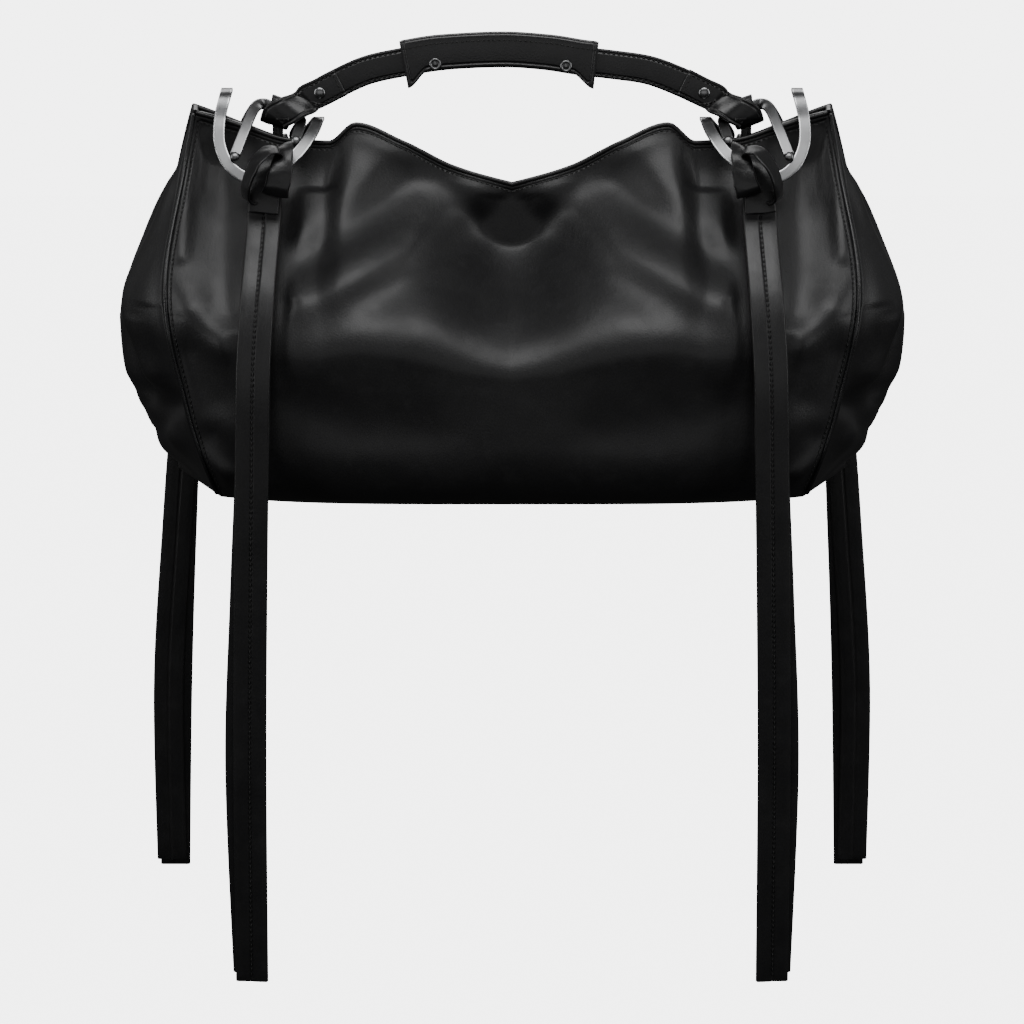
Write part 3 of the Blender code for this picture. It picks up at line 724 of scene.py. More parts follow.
def body_grid(sizes):
    """The outside of the body as columns round it and rows up it: places, outward directions, and how far each
    point is from a seam and from the rim. Columns start at the left front seam and go round by the right."""
    if BODY:
        return BODY
    columns = [("front", 2 * n / WALL_COLUMNS - 1) for n in range(WALL_COLUMNS)]
    columns += [("right", n / GUSSET_COLUMNS) for n in range(GUSSET_COLUMNS)]
    columns += [("back", 1 - 2 * n / WALL_COLUMNS) for n in range(WALL_COLUMNS)]
    columns += [("left", 1 - n / GUSSET_COLUMNS) for n in range(GUSSET_COLUMNS)]
    count = len(columns)
    places = np.zeros((count, ROWS + 1, 3))
    rims = np.zeros(count)
    for i, (face, t) in enumerate(columns):
        gusset = face in ("left", "right")
        back = face == "back"
        side = 1 if face == "right" else -1
        rim_back = rim_height(1, True)
        rims[i] = rim_height(1, False) * (1 - t) + rim_back * t if gusset else rim_height(t, back)
        for j in range(ROWS + 1):
            up = j / ROWS
            places[i, j] = side_point(side, t, up) if gusset else wall_point(t, up * rims[i], back)
    seams = (0, WALL_COLUMNS, WALL_COLUMNS + GUSSET_COLUMNS, 2 * WALL_COLUMNS + GUSSET_COLUMNS, count)
    steps = np.linalg.norm(np.roll(places, -1, 0) - places, axis=2)
    around = np.vstack([np.zeros(ROWS + 1), np.cumsum(steps, 0)])
    to_seam = np.zeros((count, ROWS + 1))
    for start, stop in zip(seams, seams[1:]):
        for i in range(start, stop):
            to_seam[i] = np.minimum(around[i] - around[start], around[stop] - around[i])
    heights = places[:, :, 2] + HANG_HEIGHT
    moved = places.copy()
    rim_wide = rims[:, None] + np.zeros_like(heights)
    for face, start, stop in (("front", 0, seams[1]), ("back", seams[2], seams[3])):
        part = slice(start, stop)
        back = face == "back"
        out = np.abs(places[part, :, 0])
        rise = wall_rise(out, heights[part], rim_wide[part], to_seam[part], back) * sizes.fold_depth
        towards = 1 if back else -1
        moved[part, :, 1] += towards * rise
        moved[part, :, 2] += rise * 0.25 * smooth_array((heights[part] - 0.06) / 0.05)
        depth = np.maximum(moved[part, :, 1] * towards, LEAST_DEPTH)
        moved[part, :, 1] = towards * depth
    for side, start, stop in ((1, seams[1], seams[2]), (-1, seams[3], seams[4])):
        part = slice(start, stop)
        front_seam = seams[1] if side > 0 else seams[4]
        away = np.abs(around[start:stop] - around[front_seam])
        rise = fold_rise(GUSSET_FOLDS, away, heights[part]) * sizes.fold_depth
        rise *= smooth_array(to_seam[part] / 0.012) * smooth_array(heights[part] / 0.014)
        rise *= smooth_array((0.205 - heights[part]) / 0.03)
        moved[part, :, 0] += side * rise
    outward = grid_normals(moved)
    for i in range(count):
        for j in range(ROWS + 1):
            edge = min(1.0, to_seam[i, j] / 0.01) * smooth((rims[i] - heights[i, j]) / 0.01)
            edge *= smooth(heights[i, j] / 0.01)
            tails = abs(heights[i, j] - 0.08) < 0.1 and 0.12 < abs(places[i, j, 0]) < 0.22
            amount = wrinkles(Vector(places[i, j])) * edge * (0.25 if tails else 1.0)
            moved[i, j] += outward[i, j] * amount
    BODY.update(places=moved, outward=grid_normals(moved), to_seam=to_seam, seams=seams)
    BODY.update(to_rim=rim_wide - heights, around=around)
    return BODY


def grid_normals(places):
    """Outward directions of a grid whose columns close round."""
    along = np.roll(places, -1, 0) - np.roll(places, 1, 0)
    up = np.empty_like(places)
    up[:, 1:-1] = places[:, 2:] - places[:, :-2]
    up[:, 0] = places[:, 1] - places[:, 0]
    up[:, -1] = places[:, -1] - places[:, -2]
    found = np.cross(along, up)
    return found / np.maximum(np.linalg.norm(found, axis=2, keepdims=True), 1e-12)


def bowl(name, outer, inner, rings, look, attributes=()):
    """A closed pot: outer and inner grids joined at their tops, each closed below by rings drawn in to a flat
    middle. rings are the shares of its foot's size that the floor's rings keep."""
    verts, faces = [], []
    count, rows = outer.shape[:2]
    for places, flip in ((outer, False), (inner, True)):
        base = len(verts)
        foot = places[:, 0]
        middle = foot.mean(0)
        middle[2] = foot[:, 2].min()
        level = [middle + (foot - middle) * np.array((s, s, 0)) for s in rings[::-1]]
        stack = level + [places[:, j] for j in range(rows)]
        for layer in stack:
            verts.extend(tuple(p) for p in layer)
        for j in range(len(stack) - 1):
            for i in range(count):
                m = (i + 1) % count
                quad = (base + j * count + i, base + j * count + m)
                quad += (base + (j + 1) * count + m, base + (j + 1) * count + i)
                faces.append(quad[::-1] if flip else quad)
        cap = tuple(base + i for i in range(count))
        faces.append(cap if flip else cap[::-1])
    layers = rows + len(rings)
    for i in range(count):
        m = (i + 1) % count
        top = (layers - 1) * count
        under = layers * count
        faces.append((top + i, top + m, under + top + m, under + top + i))
    return add_piece(name, verts, faces, look, attributes)


FLOOR_RINGS = (0.99, 0.965, 0.92, 0.84, 0.7, 0.5, 0.3, 0.12)


def make_body(sizes, colours):
    """One lofted skin for the front, the gussets, the back and the base."""
    grid = body_grid(sizes)
    outer = grid["places"]
    inner = outer - grid["outward"] * sizes.leather
    foot = inner[:, 0]
    inner[:, 0, 2] = outer[:, 0, 2] + sizes.leather
    foot[:, 2] = inner[:, 0, 2]
    near = np.minimum(grid["to_seam"], grid["to_rim"] + 0.0004)
    count, rows = near.shape
    far = np.full(count * len(FLOOR_RINGS), 1.0)
    distances = np.concatenate([far, near.T.ravel(), far, np.full(count * rows, 1.0)])
    look = leather_finish("Body Leather", sizes, colours, 0.46, furrow_line=0.0034)
    made = bowl("bag_body", outer, inner, FLOOR_RINGS, look, (("edge_distance", distances),))
    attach(made, "bag")
    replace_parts(made, "front_panel", "back_panel", "side_gusset_left", "side_gusset_right", "base_panel")
    return made


def make_lining(sizes, colours):
    """Twill bag inside the leather one, sewn in below a leather facing."""
    grid = body_grid(sizes)
    first, last = 3, int(ROWS * 0.86)
    places = grid["places"][:, first:last]
    outward = grid["outward"][:, first:last]
    outer = places - outward * (sizes.leather + 0.0007)
    inner = places - outward * (sizes.leather + 0.0013)
    made = bowl("twill_lining", outer, inner, FLOOR_RINGS, lining_finish(colours))
    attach(made, "bag")
    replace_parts(made, "lining_front", "lining_back")


def seam_line(grid, seam, from_seam, towards):
    """Points at this distance from a seam, on its side in the direction of towards, with outward directions."""
    places, outward, around = grid["places"], grid["outward"], grid["around"]
    count = len(places)
    points, outs = [], []
    for j in range(4, ROWS - 2):
        start = around[seam][j]
        for k in range(1, 20):
            i, before = seam + towards * k, seam + towards * (k - 1)
            far, near = abs(around[i][j] - start), abs(around[before][j] - start)
            if far >= from_seam:
                t = (from_seam - near) / max(far - near, 1e-9)
                a, b = places[before % count, j], places[i % count, j]
                points.append(Vector(a * (1 - t) + b * t))
                outs.append(Vector(outward[i % count, j]))
                break
    return points, outs


def rim_line(grid, columns, below):
    """Points at this distance under the rim, with outward directions."""
    points, outs = [], []
    for i in columns:
        gaps = grid["to_rim"][i][::-1]
        j = int(np.searchsorted(gaps, below))
        t = (below - gaps[j - 1]) / max(gaps[j] - gaps[j - 1], 1e-9)
        high, low = grid["places"][i, ROWS - j + 1], grid["places"][i, ROWS - j]
        points.append(Vector(high * (1 - t) + low * t))
        outs.append(Vector(grid["outward"][i, ROWS - j]))
    return points, outs


def make_seams(sizes, colours):
    """Welts down the four seams, the bound edge round the mouth, and the stitches beside them."""
    grid = body_grid(sizes)
    seams = grid["seams"]
    welt_look = leather_finish("Welt Leather", sizes, colours, 0.3)
    words = (("front", "left"), ("front", "right"), ("back", "right"), ("back", "left"))
    welt = rounded_section(0.0026, 0.0022, 0.00105)
    for seam, (end, word) in zip(seams, words):
        centres, sides = [], []
        for j in range(2, ROWS + 1):
            out = Vector(grid["outward"][seam, j])
            centres.append(Vector(grid["places"][seam, j]) + out * 0.0003)
            sides.append(out.cross(Vector((0, 0, 1))))
        made = sweep(f"seam_welt_{end}_{word}", centres, sides, welt, welt_look)
        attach(made, "bag")
        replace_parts(made, f"seam_cord_{end}_{word}")
    top = grid["places"][:, ROWS] - grid["outward"][:, ROWS] * sizes.leather / 2
    centres = [Vector(p) + Vector((0, 0, 0.0003)) for p in top]
    sides = [Vector(o) for o in grid["outward"][:, ROWS]]
    edge = rounded_section(sizes.leather + 0.0014, sizes.binding_width, 0.00135)
    bound = sweep("bound_edge", centres, sides, edge, welt_look, closed=True)
    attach(bound, "bag")
    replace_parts(bound, "front_rim_binding", "back_rim_binding")
    thread = thread_finish(sizes, colours)
    lines = [
        seam_line(grid, seams[0], 0.0034, 1),
        seam_line(grid, seams[1], 0.0034, -1),
        seam_line(grid, seams[2], 0.0034, 1),
        seam_line(grid, seams[3], 0.0034, -1),
    ]
    lines.append(rim_line(grid, range(3, seams[1] - 2), 0.0034))
    lines.append(rim_line(grid, range(seams[2] + 3, seams[3] - 2), 0.0034))
    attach(add_stitches("body_stitches", lines, sizes, thread), "bag")


# ---------------------------------------------------------------- handle, rings, knots and tails

# The middle line of the handle, as (distance along the bag, height)
ARCH = (
    (-0.1105, 0.2285),
    (-0.102, 0.233),
    (-0.084, 0.241),
    (-0.064, 0.2455),
    (-0.0385, 0.2495),
    (-0.005, 0.251),
    (0.019, 0.2495),
    (0.039, 0.2465),
    (0.0565, 0.2445),
    (0.0775, 0.2415),
    (0.0936, 0.236),
    (0.1105, 0.2285),
)
HANDLE_END = (0.117, 0.2256)
FOLD_INNER = (0.0985, 0.2345)  # where the handle's folded end stops, in front of the strap
RIVET_X = 0.1105
GRIP_ENDS = (-0.0625, 0.0485)
GRIP_RIVETS = (-0.044, 0.031)
LOOP_OUT = 0.0066
TAB_X = BAR_X + 0.0012


def turned(name, centre, axis, profile, look, steps=32):
    """A round solid: profile gives (radius, distance along the axis) from one end of the axis to the other."""
    axis = axis.normalized()
    across = axis.orthogonal().normalized()
    out = axis.cross(across)
    verts, faces, rings = [], [], []
    for radius, along in profile:
        middle = centre + axis * along
        if radius == 0:
            rings.append([len(verts)])
            verts.append(middle)
            continue
        rings.append(list(range(len(verts), len(verts) + steps)))
        turns = [2 * pi * k / steps for k in range(steps)]
        verts.extend(middle + radius * (across * cos(t) + out * sin(t)) for t in turns)
    for here, after in zip(rings, rings[1:]):
        for k in range(steps):
            corners = [here[k % len(here)], here[(k + 1) % len(here)]]
            corners += [after[(k + 1) % len(after)], after[k % len(after)]]
            faces.append(tuple(dict.fromkeys(corners)))
    return add_piece(name, verts, faces, look, sharp=50)


def arch_height(x):
    return through(ARCH, x)


def handle_side(x):
    """Which way the handle's width runs at x: across its arch, and turning level in the loops at its ends."""
    slope = (arch_height(x + 0.001) - arch_height(x - 0.001)) / 0.002
    if abs(x) > RIVET_X - 0.001:
        slope = -0.53 if x > 0 else 0.53
    along = Vector((slope, 0, -1)).normalized()
    loop = Vector((-1 if x > 0 else 1, 0, RING_SLOPE)).normalized()
    return along.lerp(loop, smooth((abs(x) - 0.113) / 0.009)).normalized()


def loop_places(side, sizes):
    """The loop's line from the neck behind, under the ring's bars and up to the neck in front."""
    layer = (sizes.handle_thickness + LAYER_GAP) / 2
    down = Vector((side * 0.42, 0, -0.9)).normalized()
    top = at(side * 0.1178, 0, 0.2252) + down * 0.0018
    low = at(side * TAB_X, 0, 0.2155)
    line = [top + Vector((0, layer, 0)), top.lerp(low, 0.5) + Vector((0, 0.0062, 0)), low + Vector((0, LOOP_OUT, 0))]
    for k in range(1, 8):
        turn = pi * k / 8
        line.append(low + down * 0.0052 * sin(turn) + Vector((0, LOOP_OUT * cos(turn), 0)))
    line += [low + Vector((0, -LOOP_OUT, 0)), top.lerp(low, 0.5) + Vector((0, -0.0062, 0)), top + Vector((0, -layer, 0))]
    return line


def make_handle(sizes, colours):
    """One strap: its two ends pass under the ring's bars and fold up in front, where a rivet holds them."""
    look = leather_finish("Handle Leather", sizes, colours, 0.3, 0.0021, half_width=sizes.handle_width / 2)
    layer = (sizes.handle_thickness + LAYER_GAP) / 2
    fold = [at(-x, -layer, h) for x, h in (FOLD_INNER, (RIVET_X, ARCH[-1][1]), HANDLE_END)]
    line = fold + loop_places(-1, sizes)[::-1] + [at(-HANDLE_END[0], layer, HANDLE_END[1])]
    line += [at(x, layer, h) for x, h in ARCH] + [at(HANDLE_END[0], layer, HANDLE_END[1])]
    line += loop_places(1, sizes) + [Vector((-p.x, p.y, p.z)) for p in fold[::-1]]
    centres = route(line, 7)
    sides = [handle_side(p.x) for p in centres]
    section = rounded_section(sizes.handle_width, sizes.handle_thickness, 0.0009, crown=0.00025)
    made = sweep("handle_strap_folded", centres, sides, section, look)
    for side in (-1, 1):
        down = Vector((side * 0.42, 0, -0.9)).normalized()
        across = Vector((-side, 0, RING_SLOPE)).normalized()
        middle = at(side * TAB_X, 0, 0.2155) + down * 0.007 + across * 0.00205
        box = bmesh.new()
        bmesh.ops.create_cube(box, size=1)
        for vert in box.verts:
            x, y, z = vert.co.x * 0.0081, vert.co.y * 0.0066, vert.co.z * 0.011
            vert.co = middle + across * x + Vector((0, y, 0)) - down * z
        data = bpy.data.meshes.new("slot cutter")
        box.to_mesh(data)
        box.free()
        cutter = bpy.data.objects.new("slot cutter", data)
        bpy.context.scene.collection.objects.link(cutter)
        cut = made.modifiers.new("tab slot", "BOOLEAN")
        cut.operation = "DIFFERENCE"
        cut.object = cutter
    settle(made)
    for old in [o for o in bpy.data.objects if o.name.startswith("slot cutter")]:
        bpy.data.objects.remove(old)
    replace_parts(made, "handle_strap", "handle_end_left", "handle_end_right", "handle_loop_left", "handle_loop_right")
    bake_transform(made)
    make_handle_stitches(sizes, colours, layer)


def settle(obj):
    """Puts the modifiers' result into the mesh."""
    graph = bpy.context.evaluated_depsgraph_get()
    data = bpy.data.meshes.new_from_object(obj.evaluated_get(graph))
    obj.modifiers.clear()
    obj.data = data


def make_handle_stitches(sizes, colours, layer):
    """A border of stitches round each folded end, and a line near both edges of the strap between them."""
    ahead = Vector((0, -1, 0))
    inset = sizes.handle_width / 2 - 0.0021
    front_face = -layer - sizes.handle_thickness / 2 - 0.0002
    lines = []
    for side in (-1, 1):
        border = []
        for k in range(9):
            x = 0.1165 - 0.0160 * k / 8
            border.append((side * x, -inset))
        for k in range(1, 6):
            border.append((side * 0.1005, inset * (2 * k / 5 - 1)))
        for k in range(1, 9):
            border.append((side * (0.1005 + 0.0160 * k / 8), inset))
        points = []
        for x, across in border:
            height = arch_height(x) if abs(x) < RIVET_X else ARCH[-1][1] - (abs(x) - RIVET_X) * 0.45
            points.append(at(x, front_face, height) + handle_side(x) * across)
        lines.append((points, [ahead] * len(points)))
    strap_face = layer - sizes.handle_thickness / 2 - 0.0001
    for first, last in ((-0.0955, -0.066), (0.052, 0.0955)):
        for across in (-inset, inset):
            points = []
            for k in range(13):
                x = first + (last - first) * k / 12
                points.append(at(x, strap_face, arch_height(x)) + handle_side(x) * across)
            lines.append((points, [ahead] * len(points)))
    for across in (-inset, inset):
        points = []
        for k in range(61):
            x = -0.108 + 0.216 * k / 60
            place = at(x, layer + sizes.handle_thickness / 2 + 0.0002, arch_height(x)) + handle_side(x) * across
            if GRIP_ENDS[0] - 0.003 < x < GRIP_ENDS[1] + 0.003:
                if len(points) > 2:
                    lines.append((points, [-ahead] * len(points)))
                points = []
                continue
            points.append(place)
        lines.append((points, [-ahead] * len(points)))
    made = add_stitches("handle_stitches", lines, sizes, thread_finish(sizes, colours))
    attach(made, "handle")


def grip_section(x, sizes, share):
    """The grip cover's outline at x as (depth, height) points, and its top and foot heights."""
    height = arch_height(x)
    end = 1 - smooth(min(share, 1 - share) / 0.12)
    inner = sizes.handle_thickness / 2 + 0.0006
    outer = inner + 0.0016
    half = sizes.handle_width / 2
    top = height + half + 0.0036
    low = height - half + 0.001 - 0.0075 * end
    outline = []
    for k in range(7):
        outline.append((-outer - 0.0003 * sin(pi * k / 6), low + (top - 0.0022 - low) * k / 6))
    for k in range(1, 9):
        turn = pi - pi * k / 8
        outline.append((outer * cos(turn), top - 0.0022 + 0.0022 * sin(turn)))
    for k in range(1, 7):
        outline.append((outer + 0.0003 * sin(pi * k / 6), top - 0.0022 + (low - top + 0.0022) * k / 6))
    outline += [(inner, low - 0.0001), (inner, top - 0.0026), (-inner, top - 0.0026), (-inner, low - 0.0001)]
    return outline, top, low


def make_grip(sizes, colours):
    """The cover folded over the handle: a long inverted U with a rolled top and ends that flare down."""
    middle = (sizes.handle_thickness + LAYER_GAP) / 2
    left, right = GRIP_ENDS
    steps = 84
    verts, distances = [], []
    lines = {-1: [], 1: []}
    top_line = []
    for n in range(steps + 1):
        share = n / steps
        x = left + (right - left) * share
        outline, top, low = grip_section(x, sizes, share)
        lean = -(arch_height(x + 0.001) - arch_height(x - 0.001)) / 0.002
        height = arch_height(x)
        ends = min(share, 1 - share) * (right - left)
        for depth, z in outline:
            verts.append(at(x + lean * (z - height), middle + depth, z))
            distances.append(min(ends, z - low) + 0.0002)
        outer = sizes.handle_thickness / 2 + 0.0023
        for face in (-1, 1):
            z = top - 0.0046
            lines[face].append(at(x + lean * (z - height), middle + face * (outer + 0.0003), z))
        top_line.append(at(x + lean * (top - height), middle, top - 0.0010))
    size = len(outline)
    faces = []
    for n in range(steps):
        for k in range(size):
            m = (k + 1) % size
            faces.append((n * size + k, n * size + m, (n + 1) * size + m, (n + 1) * size + k))
    faces.append(tuple(range(size)))
    faces.append(tuple(range(steps * size, (steps + 1) * size)))
    look = leather_finish("Grip Leather", sizes, colours, 0.27, 0.0022)
    cover = add_piece("grip_wrap", verts, faces, look, (("edge_distance", distances),), sharp=55)
    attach(cover, "handle")
    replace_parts(cover, "grip_cover")
    roll = rounded_section(0.0030, 0.0026, 0.00125)
    sides = [Vector((0, 1, 0))] * len(top_line)
    rolled = sweep("grip_rolled_edge", top_line[1:-1], sides[1:-1], roll, look)
    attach(rolled, "handle")
    stitched = [(lines[f][2:-2], [Vector((0, f, 0))] * (steps - 3)) for f in (-1, 1)]
    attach(add_stitches("grip_stitches", stitched, sizes, thread_finish(sizes, colours)), "handle")


def make_rivets(sizes, colours):
    """Domed rivets through the handle's ends, and ringed studs on the grip."""
    steel = polished_finish(colours)
    layer = (sizes.handle_thickness + LAYER_GAP) / 2
    face = 2 * layer + LAYER_GAP / 2
    front = Vector((0, -1, 0))
    for side, word in SIDES:
        place = at(side * RIVET_X, 0, ARCH[-1][1])
        dome = [(0, face - 0.0004), (0.0034, face - 0.0004), (0.00345, face), (0.00335, face + 0.0006)]
        dome += [(0.0034 * cos(t), face + 0.0006 + 0.0014 * sin(t)) for t in (pi * k / 16 for k in range(1, 8))]
        dome.append((0, face + 0.002))
        made = turned("rivet_dome_" + word, place, front, dome, steel)
        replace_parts(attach(made, "handle"), "handle_rivet_" + word)
        cap = [(0, face - 0.0002), (0.0031, face - 0.0002), (0.0032, face + 0.0005), (0.0028, face + 0.001), (0, face + 0.001)]
        made = turned("rivet_back_" + word, place, -front, cap, steel)
        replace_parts(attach(made, "handle"), "handle_rivet_cap_" + word)
    outer = sizes.handle_thickness / 2 + 0.0022 - layer + 0.0004
    for x, (_, word) in zip(GRIP_RIVETS, SIDES):
        place = at(x, 0, arch_height(x) - 0.0042)
        ring = [(0, outer - 0.0002), (0.0034, outer - 0.0002), (0.00345, outer + 0.0004)]
        ring += [(0.0027 + 0.0008 * cos(t), outer + 0.0004 + 0.0007 * sin(t)) for t in (pi * k / 8 for k in range(1, 9))]
        ring += [(0.0018, outer + 0.0002), (0.0014, outer + 0.0003), (0.0008, outer + 0.0006), (0, outer + 0.0007)]
        made = turned("grip_stud_" + word, place, front, ring, steel)
        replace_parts(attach(made, "handle"), "grip_rivet_" + word)


def make_snap(sizes, colours):
    """The snap's two halves, inside the middle of the mouth."""
    steel = polished_finish(colours)
    for way, name, node in ((-1, "snap_cup", "snap_socket"), (1, "snap_ball", "snap_stud")):
        disc = [(0, 0.0003), (0.0026, 0.0003), (0.003, 0.0008), (0.0062, 0.0008), (0.0078, 0.001)]
        disc += [(0.008, 0.0015), (0.0072, 0.002), (0, 0.002)]
        made = turned(name, at(0, 0, 0.162), Vector((0, way, 0)), disc, steel)
        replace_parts(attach(made, "bag"), node)


def ring_face(point):
    turn = radians(66) * smooth(abs(point.y) / 0.02)
    return Vector((0, sin(turn) * (1 if point.y > 0 else -1), cos(turn)))


def arch_face(point):
    turn = radians(84 - 22 * smooth(abs(point.y) / 0.02))
    return Vector((0, sin(turn) * (1 if point.y > 0 else -1), cos(turn)))


HOOP_HALF = (
    (-0.1635, -0.012, 0.2285),
    (-0.1662, -0.021, 0.214),
    (-0.1655, -0.028, 0.2),
    (-0.159, -0.034, 0.188),
    (-0.147, -0.0365, 0.182),
    (-0.133, -0.035, 0.1865),
    (-0.1215, -0.0295, 0.196),
    (-0.114, -0.0195, 0.2065),
    (-0.1115, -0.008, 0.213),
)
ARCH_BAR = (
    (-0.1565, -0.0335, 0.1955),
    (-0.152, -0.024, 0.208),
    (-0.1475, -0.012, 0.2195),
    (-0.143, -0.0028, 0.2222),
    (-0.136, -0.0015, 0.2195),
    (-0.129, -0.0015, 0.217),
    (-0.1225, -0.0022, 0.2135),
    (-0.1215, -0.008, 0.2105),
    (-0.122, -0.0155, 0.2075),
    (-0.123, -0.021, 0.2035),
)


def steel_strip(name, points, face, width, sizes, look, closed):
    centres = route(points, 12, closed)
    count = len(centres)
    sides = []
    for n, centre in enumerate(centres):
        after = centres[(n + 1) % count] if closed else centres[min(n + 1, count - 1)]
        before = centres[n - 1] if closed else centres[max(n - 1, 0)]
        sides.append((after - before).cross(face(centre)))
    section = rounded_section(width, sizes.ring_thickness, 0.00045, steps=3)
    return sweep(name, centres, sides, section, look, closed)


def make_rings(sizes, colours):
    """Each ring is a saddle hoop of flat steel with two arches welded inside it."""
    look = steel_finish(sizes, colours)
    for side, word in SIDES:
        front = [at(-side * x, y, h) for x, y, h in HOOP_HALF]
        behind = [at(-side * (x - 0.006 * smooth(abs(y) / 0.03)), -y, h) for x, y, h in reversed(HOOP_HALF)]
        hoop = steel_strip("steel_hoop_" + word, front + behind, ring_face, sizes.ring_width, sizes, look, True)
        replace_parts(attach(hoop, "ring_" + word), "ring_hoop_" + word)
        for back, end in ENDS:
            shift = -0.006 if back else 0
            flip = -1 if back else 1
            points = [at(-side * (x + shift * smooth(abs(y) / 0.03)), flip * y, h) for x, y, h in ARCH_BAR]
            width = sizes.ring_width * 0.9
            arch = steel_strip(f"steel_arch_{end}_{word}", points, arch_face, width, sizes, look, False)
            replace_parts(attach(arch, "ring_" + word), f"ring_arch_{end}_{word}")
            for spot, (place, nearby) in enumerate(((points[0], points[1]), (points[-1], points[-2]))):
                away = arch_face(place)
                bead = [(0, -0.0008), (0.0028, -0.0006), (0.0025, 0.0006), (0.0014, 0.0012), (0, 0.0013)]
                middle = place + (place - nearby).normalized() * 0.0012
                weld = turned(f"weld_{end}_{word}_{spot}", middle, away, bead, look, steps=20)
                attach(weld, "ring_" + word)


def make_tabs(sizes, colours):
    """The tab that rises out of the mouth, through the handle's fold, and over the ring's top bars."""
    look = leather_finish("Tab Leather", sizes, colours, 0.34, 0.0014, half_width=0.003)
    half = [(-0.0012, 0.188), (-0.0012, 0.21), (-0.0036, 0.2145), (-0.0039, 0.2195), (-0.0032, 0.2245), (0, 0.2262)]
    section = rounded_section(0.006, 0.0013, 0.0005)
    for side, word in SIDES:
        across = Vector((-side, 0, RING_SLOPE)).normalized()
        x = side * TAB_X
        points = [at(x, y, h) for y, h in half] + [at(x, -y, h) for y, h in reversed(half[:-1])]
        centres = route(points, 8)
        made = sweep("ring_tab_" + word, centres, [across] * len(centres), section, look)
        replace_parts(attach(made, "bag"), "anchor_tab_" + word)

KNOT_STEPS = 10


def tail_route(side, back, layer):
    """The middle line of one tail from inside its knot, over the belly and down. layer is 0 outside, 1 inside."""
    if back:
        points = ((0.1575, 0.0500, 0.176), (0.165, 0.05, 0.158), (0.178, 0.076, 0.118), (0.192, 0.0845, 0.08))
        points += ((0.203, 0.0865, 0.03), (0.209, 0.0865, -0.05), (0.2145, 0.0865, -0.15), (0.219, 0.0865, -0.271))
    else:
        points = ((0.1390, -0.0500, 0.176), (0.1395, -0.0505, 0.158), (0.1415, -0.076, 0.118), (0.1435, -0.0875, 0.08))
        points += ((0.145, -0.0895, 0.03), (0.1475, -0.0895, -0.05), (0.15, -0.0895, -0.15), (0.1515, -0.0895, -0.279))
    found = []
    for x, y, h in points:
        towards = 1 if back else -1
        spread = smooth((0.05 - h) / 0.2) * (1 - smooth((-0.17 - h) / 0.1) * 0.65)
        x += layer * 0.0052 * spread
        y -= towards * layer * (0.0022 + 2 * LAYER_GAP)
        if h < -0.2:
            h += layer * 0.0045
        found.append(at(side * x, y, h))
    return found


def tail_section(sizes, side):
    """A folded strap: its two turned edges meet in an overlap beside the middle, a step on its outer face."""
    half, thick = sizes.strap_width / 2, sizes.strap_thickness / 2
    outline = []
    for k in range(5):
        turn = pi / 2 * k / 4
        outline.append((half - thick + thick * cos(turn), thick * sin(turn)))
    outline += [(0.0055, thick + 0.0001), (0.0016, thick), (0.0011, thick - 0.00005), (0.0005, thick - 0.0005)]
    outline += [(-0.0003, thick - 0.00045), (-0.005, thick - 0.0001)]
    for k in range(9):
        turn = pi / 2 + pi * k / 8
        outline.append((-half + thick + thick * cos(turn), thick * sin(turn)))
    outline += [(-0.004, -thick), (0.004, -thick)]
    for k in range(4):
        turn = 1.5 * pi + pi / 2 * k / 4
        outline.append((half - thick + thick * cos(turn), thick * sin(turn)))
    return [(-a if side > 0 else a, b) for a, b in outline]


def make_tails(sizes, colours):
    """Eight hanging tails, two below each knot, sewn along their middles."""
    look = leather_finish("Tail Leather", sizes, colours, 0.4, 0.0093, half_width=sizes.strap_width / 2)
    thread = thread_finish(sizes, colours)
    for side, word in SIDES:
        for back, end in ENDS:
            body = f"strap_{end}_{word}"
            towards = 1 if back else -1
            lines = []
            for layer, tail in enumerate(("outer", "inner")):
                places = route(tail_route(side, back, layer), 16)
                places = places[:-1] + [places[-1].lerp(places[-2], 0.09), places[-1]]
                count = len(places)
                sides, outs = [], []
                for n, place in enumerate(places):
                    share = n / (count - 1)
                    height = place.z + HANG_HEIGHT
                    sway = 0.10 * sin(2.2 * pi * share + layer * 1.7 + (1.1 if back else 0)) * smooth((0.10 - height) / 0.15)
                    sides.append(Vector((-towards * cos(sway), sin(sway) * side, 0)))
                scale = [1.0] * (count - 1) + [0.955]
                section = tail_section(sizes, side * -towards)
                name = f"tail_{end}_{word}_{tail}"
                made = sweep(name, places, sides, section, look, scale=scale, sharp=60)
                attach(made, body)
                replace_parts(made, f"strap_{end}_{word}_{tail}_tail")
                face = sizes.strap_thickness / 2 - 0.00035
                line = []
                for n, (place, across) in enumerate(zip(places, sides)):
                    ahead = (places[min(n + 1, count - 1)] - places[max(n - 1, 0)]).normalized()
                    flat = (across - ahead * across.dot(ahead)).normalized()
                    out = ahead.cross(flat)
                    outs.append(out)
                    line.append(place + flat * (-0.0002 if side * -towards < 0 else 0.0002) + out * face)
                lines.append((line[10:-2], outs[10:-2]))
            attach(add_stitches(f"tail_stitches_{end}_{word}", lines, sizes, thread), body)


def rumpled(verts_of, amount, seed):
    """Presses small dents and creases into a knotted piece."""
    for vert in verts_of.data.vertices:
        place = Vector(vert.co) * 190 + Vector((seed, seed * 2, 0))
        vert.co += noise.noise_vector(place) * amount
        vert.co += noise.noise_vector(place * 0.4) * amount
    verts_of.data.update()


